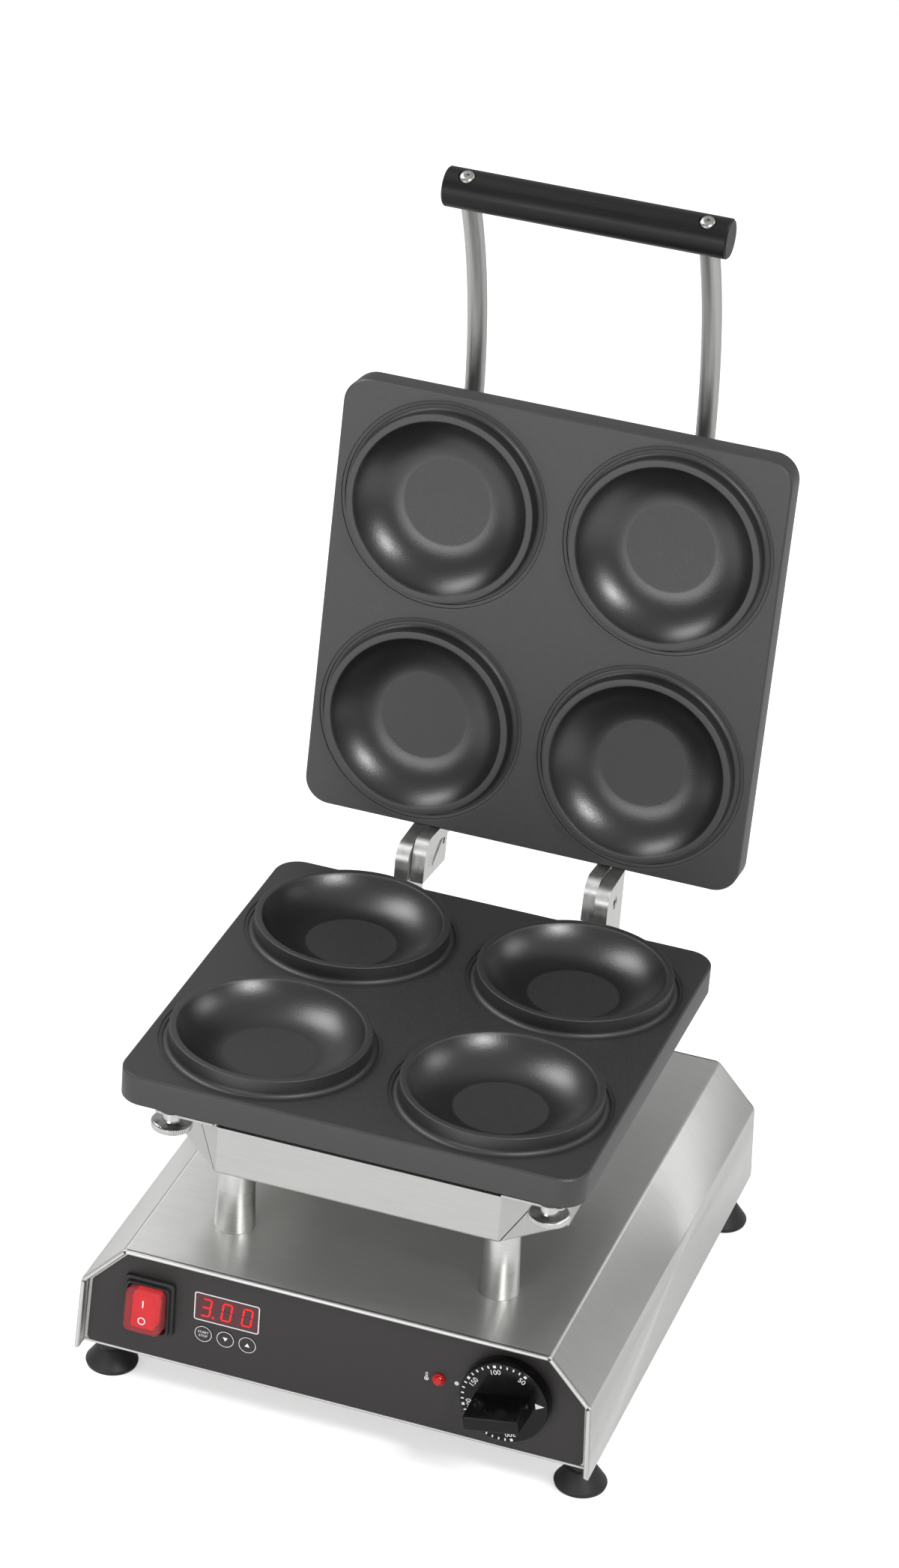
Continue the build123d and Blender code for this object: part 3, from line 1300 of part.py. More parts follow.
parts["lid_arm_screws"] = group(*[upper(screw) for screw in arm_screws(lid_arm_x, arm_screw_heights)])
parts["upper_housing"] = upper(tray(in_lid=True))
parts["upper_insulation"] = upper(insulation(in_lid=True))
parts["upper_heating_element"] = upper(element_solid(element_radius))
parts["upper_heater_block"] = upper(heater_block())
parts["upper_baking_plate"] = upper(lower_plate)
parts["upper_plate_studs"] = group(*[upper(plate_stud(sx, sy)) for sx, sy in corner_signs])
for signs, corner_name in corner_names.items():
    parts["upper_thumb_nut_" + corner_name] = upper(thumb_nut(*signs))
parts["handle_rods"] = group(*[opened(handle_rod(x)) for x in (-rod_x, rod_x)])
parts["handle_grip"] = opened(grip())
parts["handle_screws"] = group(*[opened(grip_screw(x)) for x in (-rod_x, rod_x)])
parts["handle_rod_blocks"] = group(*[opened(rod_block(x)) for x in (-rod_x, rod_x)])
parts["lid_lead_gland"] = upper(gland((lead_gland_x, tray_rear_y, lid_gland_z), (0, 1, 0), tray_sheet))

os.makedirs("parts", exist_ok=True)
for name, shape in parts.items():
    export_step(shape, "parts/" + name + ".step")
    print(name, "solids", len(shape.solids()), "volume", round(shape.volume))
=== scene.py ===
from math import asin, cos, hypot, pi, radians, sin, tan

import bmesh
import bpy
import numpy as np
from mathutils import Matrix, Vector


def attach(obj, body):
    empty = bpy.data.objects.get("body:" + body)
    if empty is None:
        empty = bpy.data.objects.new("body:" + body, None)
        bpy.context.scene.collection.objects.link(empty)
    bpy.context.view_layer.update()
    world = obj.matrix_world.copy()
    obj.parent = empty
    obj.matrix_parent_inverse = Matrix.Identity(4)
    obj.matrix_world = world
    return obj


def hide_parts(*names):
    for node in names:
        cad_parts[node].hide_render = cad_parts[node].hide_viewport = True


# Jaffle maker with four round dishes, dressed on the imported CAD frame.
# +X to the operator's right, +Y away from the operator, +Z up. Shapes are worked out in millimetres.

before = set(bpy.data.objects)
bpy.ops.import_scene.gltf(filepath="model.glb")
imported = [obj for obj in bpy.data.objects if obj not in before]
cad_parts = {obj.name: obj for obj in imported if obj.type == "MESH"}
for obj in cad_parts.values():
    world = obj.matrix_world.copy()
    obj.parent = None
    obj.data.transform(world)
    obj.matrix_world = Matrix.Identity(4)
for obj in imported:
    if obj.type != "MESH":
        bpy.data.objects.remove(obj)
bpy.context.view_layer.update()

MM = 0.001

# Base cover: the right half of its section from foot to top corner, then the sheet and its hems
COVER_SECTION = [(159.62, 27.0), (157.0, 77.0), (130.75, 105.0)]
COVER_ENDS = (-176.5, 176.5)
COVER_SHEET = 1.2
COVER_BEND = 2.4
HEM_THICKNESS = 2.8
HEM_GAP = 0.4
HEM_DEPTH = 9.0
HEM_CORNER_GAP = 1.4
COVER_TOP = 105.0

# Front panel: the film's printed face and what is set in it, as X and Z on the panel
FILM_Y = -169.5
PRINT_THICKNESS = 0.06
DISPLAY = (-67.5, 74.5)
DISPLAY_FRAME = {"width": 40.6, "height": 19.4, "corner": 1.6, "line": 0.65}
DIGIT_PITCH = 12.8
THERMOMETER = (56.6, 66.4)
KNOB_DOT = (75.0, 66.5)
KEY_PITCH = 13.8
KEY_Z = 55.8
KEY_FACE_Y = FILM_Y - 0.3
SWITCH = (-115.3, 67.1)
SWITCH_TILT = radians(7.0)
SWITCH_PIVOT_Y = FILM_Y + 3.0
BOOT_REACH = 13.0
BOOT_FRONT_Y = FILM_Y - BOOT_REACH
LAMP = (64.1, 66.3)
KNOB = (106.1, 67.8)
KNOB_RADIUS = 26.7
KNOB_BACK_Y = FILM_Y - 0.8
KNOB_SKIRT = 8.6
KNOB_FACE_Y = KNOB_BACK_Y - KNOB_SKIRT
KNOB_BAR_HEIGHT = 24.0
KNOB_TURN = radians(10.5)

# Scale on the knob: degrees of turn to its first mark and from mark to mark, and what it counts
SCALE_START = 61.5
SCALE_STEP = 9.0
SCALE_MARKS = 26
SCALE_LOWEST = 50
SCALE_RISE = 10
MARKS_TO_NUMBER = 5
SCALE_RADIUS = 24.6
NUMBER_RADIUS = 20.9
POINTER_RADIUS = 22.3

# Front wall's lower bend: Y and Z of its half round's centre, its radius and half its length
FOLD = (FILM_Y + 0.55, 30.45)
FOLD_RADIUS = 0.95
FOLD_HALF = 156.0

# Feet and legs
FOOT_PLACES = [(-147.5, -143.8), (147.5, -143.8), (-147.5, 158.5), (147.5, 158.5)]
FOOT_TOP = 29.5
LEG_PLACES = [(-82.0, -122.9), (82.0, -122.9), (-82.0, 39.1), (82.0, 39.1)]
TRAY_BOTTOM = 155.0

# Baking plates, drawn in the lower one's place
PLATE_Y = -41.9
PLATE_HALF = (140.0, 138.3)
PLATE_CORNER = 16.0
PLATE_EDGE = 1.0
PLATE_TOP = 227.3
PLATE_THICKNESS = 18.7
DISH = (70.5, 69.5)
DISH_MOUTH = 54.9
DISH_FLOOR = 27.0
DISH_DROP = 7.5
RIM_RADIUS = 59.1
RIM_HEIGHT = 9.6
BOWL_BULGE = 4.2
EAR_TOP = 191.5
EAR_BOTTOM = 190.0
STUD = (115.0, 107.0)
PARTING = 237.1

# The hinge line's Y and Z, and how far the lid stands open at rest
HINGE = (114.3, 236.8)
LID_ANGLE = radians(96.4)

# Handle, in the closed lid's place
ROD_X = 73.0
ROD_RADIUS = 6.0
ROD_Z = 297.3
ROD_BEND_Y = -131.2
ROD_STRAIGHT = 22.0
ROD_BEND_RADIUS = 289.0
ROD_BEND_ANGLE = radians(35.0)
ROD_REACH = 15.8
GRIP_RADIUS = 12.0
GRIP_TIP_INSET = 3.0
GRIP_SCREW_SEAT = 1.6


# Shapes


def rounded_line(points, radii, steps=6):
    """A line of straight runs with arcs for its inner corners, one radius for each.

    An arc's centre lies on the corner's bisector, radius / sin(half the corner's angle) away, and its points
    turn evenly from one tangent point to the other.
    """
    points = np.asarray(points, float)
    share = np.linspace(0.0, 1.0, steps + 1)[:, None]
    line = [points[:1]]
    for before, corner, after, radius in zip(points, points[1:], points[2:], radii):
        back = (before - corner) / np.linalg.norm(before - corner)
        ahead = (after - corner) / np.linalg.norm(after - corner)
        half = np.arccos(np.clip(back @ ahead, -1.0, 1.0)) / 2.0
        centre = corner + (back + ahead) / np.linalg.norm(back + ahead) * radius / sin(half)
        start = corner + back * radius / tan(half) - centre
        end = corner + ahead * radius / tan(half) - centre
        sweep = pi - 2.0 * half
        arc = np.sin((1.0 - share) * sweep) * start + np.sin(share * sweep) * end
        line.append(centre + arc / sin(sweep))
    line.append(points[-1:])
    return np.concatenate(line)


CORNER_POINTS = 7
LOOP_POINTS = 4 * CORNER_POINTS


def rounded_rectangle(width, height, corner):
    """A rectangle with arcs for corners, anticlockwise from the lower right."""
    turn = np.linspace(-pi / 2.0, 0.0, CORNER_POINTS)
    corners = enumerate([(1, -1), (1, 1), (-1, 1), (-1, -1)])
    quarter = [(turn + k * pi / 2.0, sx, sz) for k, (sx, sz) in corners]
    return np.concatenate([np.stack([sx * (width / 2.0 - corner) + corner * np.cos(t),
                                     sz * (height / 2.0 - corner) + corner * np.sin(t)], 1)
                           for t, sx, sz in quarter])


def stacked(loops, ring=False, capped=True):
    """Closed loops of as many points each, joined row to row; a ring joins the last row to the first too."""
    rows, columns = loops.shape[:2]
    row = np.arange(rows if ring else rows - 1)[:, None]
    column = np.arange(columns)[None, :]
    above = (row + 1) % rows * columns
    row = row * columns
    after = (column + 1) % columns
    quads = np.stack([row + column, row + after, above + after, above + column], -1).reshape(-1, 4)
    faces = [quads]
    if capped and not ring:
        faces += [np.arange(columns)[None, ::-1], np.arange(columns)[None, :] + (rows - 1) * columns]
    return loops.reshape(-1, 3), faces


def turned(profile, steps=96, ring=False, flute=None):
    """A profile of radius and height turned round Z; flute changes the radius for each height and turn."""
    profile = np.asarray(profile, float)
    turn = np.arange(steps) * 2.0 * pi / steps
    radius = np.repeat(profile[:, :1], steps, 1)
    if flute is not None:
        radius = radius + flute(profile, turn)
    loops = np.stack([radius * np.cos(turn), radius * np.sin(turn), np.repeat(profile[:, 1:], steps, 1)], -1)
    return stacked(loops, ring)


def pressed(outline, thickness):
    """A flat outline of X and Y with straight walls up to its thickness."""
    outline = np.asarray(outline, float)
    levels = [np.column_stack([outline, np.full(len(outline), z)]) for z in (0.0, thickness)]
    return stacked(np.stack(levels))


def level_loops(rows):
    """A rounded rectangle for each row, which gives its width, height, corner and Z."""
    return np.stack([np.column_stack([rounded_rectangle(width, height, corner), np.full(LOOP_POINTS, z)])
                     for width, height, corner, z in rows])


def edge_rows(width, height, corner, start, edge, steps=6):
    """Rows of a rounded edge: inset by edge * (1 - cos) while Z rises from its start by edge * sin."""
    turn = np.linspace(0.0, pi / 2.0, steps)
    inset = edge * (1.0 - np.cos(turn))
    high = start + edge * np.sin(turn)
    return [(width - 2 * i, height - 2 * i, max(corner - i, 0.3), z) for i, z in zip(inset, high)]


def rounded_block(width, height, corner, depth, edge):
    """A block from Z 0 to depth whose far edge is an arc."""
    rows = [(width, height, corner, 0.0)] + edge_rows(width, height, corner, depth - edge, edge)
    return stacked(level_loops(rows))


def moved(shell, change):
    """A shell with its points changed by a function."""
    return change(shell[0]), shell[1]


def on_panel(place, y, turn=0.0):
    """Takes a drawing's X and Y to the front panel round a place there, turned, with Z to the operator."""
    def change(points):
        across = points[:, 0] * cos(turn) - points[:, 1] * sin(turn) + place[0]
        up = points[:, 0] * sin(turn) + points[:, 1] * cos(turn) + place[1]
        return np.stack([across, y - points[:, 2], up], 1)
    return change


def tilted(points):
    """A rocker piece tipped about its pivot to its switched-on rest."""
    y = points[:, 1] - SWITCH_PIVOT_Y
    z = points[:, 2] - SWITCH[1]
    c, s = cos(-SWITCH_TILT), sin(-SWITCH_TILT)
    return np.stack([points[:, 0], SWITCH_PIVOT_Y + y * c - z * s, SWITCH[1] + y * s + z * c], 1)


def opened(points):
    """Points of the closed lid turned back about the hinge to where the lid rests."""
    y = points[:, 1] - HINGE[0]
    z = points[:, 2] - HINGE[1]
    c, s = cos(LID_ANGLE), sin(LID_ANGLE)
    return np.stack([points[:, 0], HINGE[0] + y * c + z * s, HINGE[1] - y * s + z * c], 1)


def in_lid(points):
    """The lid's counterpart of a lower point: its mirror image in the parting plane, opened."""
    return opened(points * (1.0, 1.0, -1.0) + (0.0, 0.0, 2.0 * PARTING))


def placed(x, y, z=0.0):
    """A move by X, Y and Z."""
    return lambda points: points + (x, y, z)


def piece(name, shells, finish, body, replaced=(), brush=None, crease=32.0):
    """One object from shells in millimetres: doubles merged, normals outwards, smooth up to the crease angle.

    brush gives each point's place along and across the brushing, which the brushed finishes read.
    """
    faces = []
    start = 0
    for points, quads in shells:
        faces += [face for group in quads for face in (group + start).tolist()]
        start += len(points)
    mesh = bpy.data.meshes.new(name)
    mesh.from_pydata((np.concatenate([shell[0] for shell in shells]) * MM).tolist(), [], faces)
    if brush is not None:
        layer = mesh.attributes.new("brush", "FLOAT_VECTOR", "POINT")
        layer.data.foreach_set("vector", (np.concatenate(brush) * MM).astype(np.float32).ravel())
    work = bmesh.new()
    work.from_mesh(mesh)
    bmesh.ops.remove_doubles(work, verts=work.verts, dist=0.000002)
    bmesh.ops.recalc_face_normals(work, faces=work.faces)
    work.to_mesh(mesh)
    work.free()
    mesh.shade_smooth()
    mesh.set_sharp_from_angle(angle=radians(crease))
    mesh.materials.append(finish)
    made = bpy.data.objects.new(name, mesh)
    bpy.context.scene.collection.objects.link(made)
    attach(made, body)
    if replaced:
        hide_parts(*replaced)
    return made


def lettering(words, size, thickness=PRINT_THICKNESS):
    """Words as a thin solid centred on the origin, from Blender's own font."""
    curve = bpy.data.curves.new(words, "FONT")
    curve.body = words
    curve.size = size
    curve.align_x = "CENTER"
    curve.align_y = "CENTER"
    curve.resolution_u = 4
    curve.extrude = thickness / 2.0
    holder = bpy.data.objects.new(words, curve)
    mesh = bpy.data.meshes.new_from_object(holder)
    points = np.empty(len(mesh.vertices) * 3)
    mesh.vertices.foreach_get("co", points)
    points = points.reshape(-1, 3)
    points[:, :2] -= (points[:, :2].min(0) + points[:, :2].max(0)) / 2.0
    faces = [np.array([list(face.vertices)]) for face in mesh.polygons]
    return points, faces


# Materials


def linear(hex_colour):
    """An sRGB hex value as the linear colour that shaders take."""
    channels = np.array([int(hex_colour[i:i + 2], 16) for i in (1, 3, 5)]) / 255.0
    low = channels / 12.92
    high = ((channels + 0.055) / 1.055) ** 2.4
    return (*np.where(channels <= 0.04045, low, high).tolist(), 1.0)


def node(tree, kind, inputs=None, links=None, **settings):
    """Adds a shader node, sets its properties and input values, and links its inputs to outputs."""
    new = tree.nodes.new(kind)
    for key, value in settings.items():
        setattr(new, key, value)
    for socket, value in (inputs or {}).items():
        new.inputs[socket].default_value = value
    for socket, output in (links or {}).items():
        tree.links.new(output, new.inputs[socket])
    return new


def material(name, colour, roughness, metallic=0.0, **sockets):
    """A Principled material with the settings that are the same all over."""
    made = bpy.data.materials.new(name)
    made.use_nodes = True
    shader = made.node_tree.nodes["Principled BSDF"]
    shader.inputs["Base Color"].default_value = linear(colour)
    shader.inputs["Roughness"].default_value = roughness
    shader.inputs["Metallic"].default_value = metallic
    for socket, value in sockets.items():
        shader.inputs[socket.replace("_", " ")].default_value = value
    return made


# Between these two values lies nearly all of a noise
NOISE_SPAN = (0.33, 0.67)


def textured(made, noises, tint, rough, height, place=None):
    """Noise that tints, roughens and dents a material.

    noises lists each noise as its grain in millimetres along X, Y and Z and its share; they are added up.
    tint is the share by which the colour varies, rough the lowest and highest roughness, and height the
    dents' depth in millimetres. place is an output to read in place of Object coordinates.
    """
    tree = made.node_tree
    shader = tree.nodes["Principled BSDF"]
    place = place or node(tree, "ShaderNodeTexCoord").outputs["Object"]
    total = None
    for grains, share in noises:
        mapping = node(tree, "ShaderNodeMapping", {"Scale": [1000.0 / g for g in grains]}, {"Vector": place})
        noise = node(tree, "ShaderNodeTexNoise", {"Scale": 1.0, "Detail": 3.0, "Roughness": 0.55},
                     {"Vector": mapping.outputs["Vector"]})
        part = node(tree, "ShaderNodeMath", {1: share}, {0: noise.outputs["Fac"]}, operation="MULTIPLY")
        if total is None:
            total = part.outputs[0]
        else:
            added = node(tree, "ShaderNodeMath", links={0: total, 1: part.outputs[0]}, operation="ADD")
            total = added.outputs[0]
    base = tuple(shader.inputs["Base Color"].default_value)
    ramp = node(tree, "ShaderNodeValToRGB", links={"Fac": total})
    for end, where, change in zip(ramp.color_ramp.elements, NOISE_SPAN, (1.0 - tint, 1.0 + tint)):
        end.position = where
        end.color = tuple(min(c * change, 1.0) for c in base[:3]) + (1.0,)
    tree.links.new(ramp.outputs["Color"], shader.inputs["Base Color"])
    span = node(tree, "ShaderNodeMapRange", {"From Min": NOISE_SPAN[0], "From Max": NOISE_SPAN[1],
                                             "To Min": rough[0], "To Max": rough[1]}, {"Value": total})
    tree.links.new(span.outputs["Result"], shader.inputs["Roughness"])
    bump = node(tree, "ShaderNodeBump", {"Strength": 1.0, "Distance": height * MM}, {"Height": total})
    tree.links.new(bump.outputs["Normal"], shader.inputs["Normal"])
    return made


def brushed(made, *settings):
    """A texture that lies along the piece's own brushing, read from its brush attribute."""
    place = node(made.node_tree, "ShaderNodeAttribute", attribute_name="brush").outputs["Vector"]
    return textured(made, *settings, place=place)


def sheet_sides(made, *settings):
    """A texture on a folded CAD sheet: along X, but along Y on the faces that look along X."""
    tree = made.node_tree
    where = node(tree, "ShaderNodeTexCoord")
    facing = node(tree, "ShaderNodeSeparateXYZ", links={0: where.outputs["Normal"]})
    side = node(tree, "ShaderNodeMath", links={0: facing.outputs["X"]}, operation="ABSOLUTE")
    side = node(tree, "ShaderNodeMath", {1: 0.9}, {0: side.outputs[0]}, operation="GREATER_THAN")
    swapped = node(tree, "ShaderNodeMapping", {"Rotation": (0.0, 0.0, pi / 2.0)},
                   {"Vector": where.outputs["Object"]})
    place = node(tree, "ShaderNodeMix", links={0: side.outputs[0], 4: where.outputs["Object"],
                                               5: swapped.outputs["Vector"]}, data_type="VECTOR")
    return textured(made, *settings, place=place.outputs[1])


def bowls_glossier_painted_darker(made, colour, roughness):
    """A second colour and roughness where the brush attribute's X is 1, which marks the bowls' walls: a lower
    roughness, and a darker colour that is painted shade.

    A Mix node takes two numbers at its inputs 2 and 3 and two colours at 6 and 7.
    """
    tree = made.node_tree
    shader = tree.nodes["Principled BSDF"]
    mark = node(tree, "ShaderNodeAttribute", attribute_name="brush").outputs["Vector"]
    mark = node(tree, "ShaderNodeSeparateXYZ", links={0: mark}).outputs["X"]
    changes = [("Base Color", "RGBA", 6, linear(colour)), ("Roughness", "FLOAT", 2, roughness)]
    for socket, kind, first, value in changes:
        before = shader.inputs[socket].links[0].from_socket
        mixed = node(tree, "ShaderNodeMix", {first + 1: value}, {0: mark, first: before}, data_type=kind)
        tree.links.new(mixed.outputs[2 if kind == "RGBA" else 0], shader.inputs[socket])
    return made


def stretched(made):
    """Draws reflections out square to streaks along X: the tangent goes round the X axis."""
    tree = made.node_tree
    tangent = node(tree, "ShaderNodeTangent", direction_type="RADIAL", axis="X")
    tree.links.new(tangent.outputs["Tangent"], tree.nodes["Principled BSDF"].inputs["Tangent"])
    return made


# Stainless sheet ground on a belt: streaks 30 to 60 mm long and a few tenths wide, soft broad reflections
SHEET_GRAIN = ([((60.0, 0.5, 0.5), 0.6), ((25.0, 1.4, 1.4), 0.4)], 0.07, (0.36, 0.48), 0.05)
STAINLESS = stretched(brushed(material("stainless_belt_ground", "#d0d0ce", 0.42, 1.0, Anisotropic=0.8),
                              *SHEET_GRAIN))
# The folded CAD sheet's copy of the same stainless is painted darker than the cover's, as shade.
STAINLESS_CAD = sheet_sides(material("stainless_belt_ground_folded", "#bcbcba", 0.4, 1.0), *SHEET_GRAIN)
# Drawn stainless rod, ground along its length: dark grey with a long narrow light
ROD_STEEL = brushed(material("stainless_ground_rod", "#b4b4b2", 0.42, 1.0), [((70.0, 0.6, 0.6), 1.0)], 0.08,
                    (0.38, 0.5), 0.02)
# Stainless turned on a lathe: fine rings round the axis, mirror-like between them
TURNED_STEEL = textured(material("stainless_turned", "#c4c4c2", 0.18, 1.0), [((8.0, 8.0, 0.25), 1.0)], 0.06,
                        (0.14, 0.26), 0.004)
# Aluminium turned and left satin: fine rings round the leg, a soft bright band down its front
TURNED_ALUMINIUM = textured(material("aluminium_turned", "#c9c9c7", 0.32, 1.0), [((30.0, 30.0, 0.35), 1.0)],
                            0.05, (0.27, 0.38), 0.006)
# Aluminium bar with the marks of an end mill, a few tenths apart
MILLED_ALUMINIUM = sheet_sides(material("aluminium_milled", "#d2d2d0", 0.45, 1.0),
                               [((0.8, 0.8, 14.0), 0.5), ((3.0, 3.0, 30.0), 0.5)], 0.1, (0.38, 0.52), 0.04)
# Aluminium casting, dull and dark from heat, with a sandy skin
CAST_ALUMINIUM = textured(material("aluminium_cast", "#4a4a4a", 0.6, 1.0), [((1.2, 1.2, 1.2), 1.0)], 0.2,
                          (0.5, 0.7), 0.08)
# Zinc-plated steel: pale, slightly uneven
ZINC = textured(material("steel_zinc_plated", "#b4b4b0", 0.3, 1.0), [((0.8, 0.8, 0.8), 1.0)], 0.08,
                (0.24, 0.4), 0.01)
# Sheath of a tubular heater, browned by heat
ELEMENT = textured(material("heater_sheath", "#5a5550", 0.5, 1.0), [((2.0, 2.0, 2.0), 1.0)], 0.2,
                   (0.4, 0.6), 0.02)
# Cast plate under a sprayed non-stick coat: near black, with an orange-peel grain of half a millimetre.
# The bowls' walls are polished under the coat, so they are glossier than the faces and floors; their darker
# colour is painted shade.
NON_STICK = textured(material("non_stick_coat", "#1b1b1c", 0.5, Specular_IOR_Level=0.9),
                     [((1.0, 1.0, 1.0), 0.6), ((0.45, 0.45, 0.45), 0.4)], 0.35, (0.44, 0.56), 0.1)
bowls_glossier_painted_darker(NON_STICK, "#121213", 0.32)
# Polyester film printed dark grey-brown, with a very fine matt grain
FILM = textured(material("printed_film", "#221e1e", 0.42), [((0.25, 0.25, 0.25), 1.0)], 0.05, (0.38, 0.48),
                0.004)
# Moulded black polyamide with a fine spark-eroded grain
BLACK_PLASTIC = textured(material("polyamide_moulded_black", "#131313", 0.45), [((0.5, 0.5, 0.5), 1.0)], 0.1,
                         (0.4, 0.52), 0.01)
# Pressed phenolic, glossy and nearly black, with faint flow marks
PHENOLIC = textured(material("phenolic_glossy_black", "#0a0a0b", 0.18, Specular_IOR_Level=0.25),
                    [((4.0, 4.0, 4.0), 1.0)], 0.15, (0.14, 0.22), 0.006)
# Phenolic bar turned between centres and drawn over with fine paper: satin streaks along it
GRIP_BLACK = textured(material("phenolic_bar_satin", "#0d0d0d", 0.4, Specular_IOR_Level=0.3),
                      [((40.0, 0.5, 0.5), 1.0)], 0.2, (0.34, 0.48), 0.01)
# Moulded polyamide in its own warm white, with a fine matt grain
WHITE_PLASTIC = textured(material("polyamide_moulded_white", "#d8d6cd", 0.4), [((0.8, 0.8, 0.8), 1.0)], 0.03,
                         (0.35, 0.45), 0.01)
# Glass-epoxy board under green solder lacquer
BOARD = textured(material("circuit_board_lacquered", "#1d4a2c", 0.35), [((1.0, 1.0, 1.0), 1.0)], 0.1,
                 (0.3, 0.4), 0.01)
# Moulded rubber: black, matt, with a faint bloom
RUBBER = textured(material("rubber_moulded", "#1b1b1c", 0.5),
                  [((1.2, 1.2, 1.2), 0.5), ((9.0, 9.0, 9.0), 0.5)], 0.2, (0.44, 0.62), 0.02)
# Mineral wool: tangled yellow-grey fibres
WOOL = textured(material("mineral_wool", "#a89c78", 0.95), [((2.0, 2.0, 0.4), 1.0)], 0.25, (0.9, 1.0), 0.3)
# Turned brass: yellow, with a slight tarnish
BRASS = textured(material("brass_turned", "#c5a253", 0.3, 1.0), [((0.8, 0.8, 0.8), 1.0)], 0.1, (0.25, 0.4),
                 0.01)
# Tinted acrylic in front of the digits: dark wine red, flat and glossy
RED_WINDOW = textured(material("acrylic_tinted_red", "#502228", 0.2), [((3.0, 3.0, 3.0), 1.0)], 0.06,
                      (0.16, 0.24), 0.002)
# Clear red polycarbonate lens, lit from behind
RED_LENS = textured(material("polycarbonate_red_lens", "#c40d12", 0.12, Transmission_Weight=0.2),
                    [((1.5, 1.5, 1.5), 1.0)], 0.1, (0.08, 0.18), 0.01)
# The lit rocker: red polycarbonate with a lamp inside
RED_ROCKER = textured(material("polycarbonate_red_rocker", "#dc141c", 0.25, Emission_Color=linear("#e0141c"),
                               Emission_Strength=2.0), [((6.0, 6.0, 6.0), 1.0)], 0.06, (0.2, 0.3), 0.002)
# Splash cap: clear red silicone, slightly cloudy
RED_BOOT = textured(material("silicone_clear_red", "#c46468", 0.14, Transmission_Weight=0.66, IOR=1.12),
                    [((6.0, 6.0, 6.0), 1.0)], 0.05, (0.1, 0.16), 0.001)
# Screen-printed white ink: matt, a little uneven
WHITE_PRINT = textured(material("screen_ink_white", "#e6e6e8", 0.5), [((0.3, 0.3, 0.3), 1.0)], 0.04,
                       (0.45, 0.6), 0.001)
# A lit segment glows; an unlit one is a shade paler than the window
LIT_SEGMENT = textured(material("segment_lit_red", "#d80c0c", 0.4, Emission_Color=linear("#ff1010"),
                                Emission_Strength=0.6), [((1.0, 1.0, 1.0), 1.0)], 0.03, (0.35, 0.45), 0.001)
DIM_SEGMENT = textured(material("segment_unlit", "#4c2a30", 0.35), [((1.0, 1.0, 1.0), 1.0)], 0.04, (0.3, 0.4),
                       0.001)

FINISH = {
    STAINLESS_CAD: ("base_chassis", "lower_tray", "upper_housing", "base_cover"),
    ROD_STEEL: ("handle_rods",),
    TURNED_ALUMINIUM: ("cone_legs",),
    MILLED_ALUMINIUM: ("fixed_hinge_arm_left", "fixed_hinge_arm_right", "lid_hinge_arm_left",
                       "lid_hinge_arm_right", "handle_rod_blocks"),
    CAST_ALUMINIUM: ("lower_heater_block", "upper_heater_block"),
    ZINC: ("hinge_pins", "lid_stop_pins", "lower_plate_studs", "upper_plate_studs", "handle_screws",
           "leg_bolts", "foot_screws", "fixed_arm_screws", "lid_arm_screws", "thermostat_shaft",
           "thermostat_body", "sensor_capillary"),
    ELEMENT: ("lower_heating_element", "upper_heating_element"),
    NON_STICK: ("lower_baking_plate", "upper_baking_plate"),
    FILM: ("panel_film", "key_start_stop", "key_down", "key_up"),
    BLACK_PLASTIC: ("switch_body", "display_module", "pilot_lamp_body", "mains_gland", "base_lead_gland",
                    "lid_lead_gland"),
    PHENOLIC: ("thermostat_knob",),
    GRIP_BLACK: ("handle_grip",),
    WHITE_PLASTIC: ("terminal_block",),
    BOARD: ("timer_board",),
    RUBBER: ("rubber_feet", "switch_gasket"),
    WOOL: ("lower_insulation", "upper_insulation"),
    BRASS: ("earth_stud",),
    RED_WINDOW: ("display_window",),
    RED_LENS: ("pilot_lamp_lens",),
    RED_ROCKER: ("switch_rocker",),
    RED_BOOT: ("switch_boot",),
    TURNED_STEEL: tuple(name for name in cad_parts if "thumb_nut" in name),
}
for finish, names in FINISH.items():
    for name in names:
        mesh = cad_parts[name].data
        mesh.materials.clear()
        mesh.materials.append(finish)


# Baking plates

# One dish from its floor's edge outwards: bowl, rim, stepped moat, then the plate's face
CHORD = hypot(DISH_MOUTH - DISH_FLOOR, RIM_HEIGHT + DISH_DROP)
BOWL_RADIUS = CHORD ** 2 / (8.0 * BOWL_BULGE) + BOWL_BULGE / 2.0
BOWL_RINGS = 26
MOAT = [(62.8, -1.2), (62.8, -0.5), (65.0, -0.5), (65.0, 0.0), (66.6, 0.0)]
# Points along each side of a plate's quarter
SIDE_POINTS = 34


def dish_profile():
    """Radius and height of a dish's section.

    The bowl is the arc through floor edge and mouth whose middle stands BOWL_BULGE off their chord. The rest
    is straight runs with small arcs between them.
    """
    along = np.array([DISH_MOUTH - DISH_FLOOR, RIM_HEIGHT + DISH_DROP]) / CHORD
    outward = np.array([along[1], -along[0]])
    middle = np.array([(DISH_MOUTH + DISH_FLOOR) / 2.0, (RIM_HEIGHT - DISH_DROP) / 2.0])
    centre = middle - outward * (BOWL_RADIUS - BOWL_BULGE)
    half = asin(CHORD / 2.0 / BOWL_RADIUS)
    turn = np.linspace(-half, half - 0.05, BOWL_RINGS)[:, None]
    bowl = centre + BOWL_RADIUS * (outward * np.cos(turn) + along * np.sin(turn))
    runs = [bowl[-1], (DISH_MOUTH, RIM_HEIGHT), (RIM_RADIUS, RIM_HEIGHT), (RIM_RADIUS, MOAT[0][1])]
    rim = rounded_line(runs + MOAT, [0.7, 0.6, 3.0, 0.3, 0.2, 0.2, 0.25], 5)
    return np.concatenate([bowl, rim[1:]])


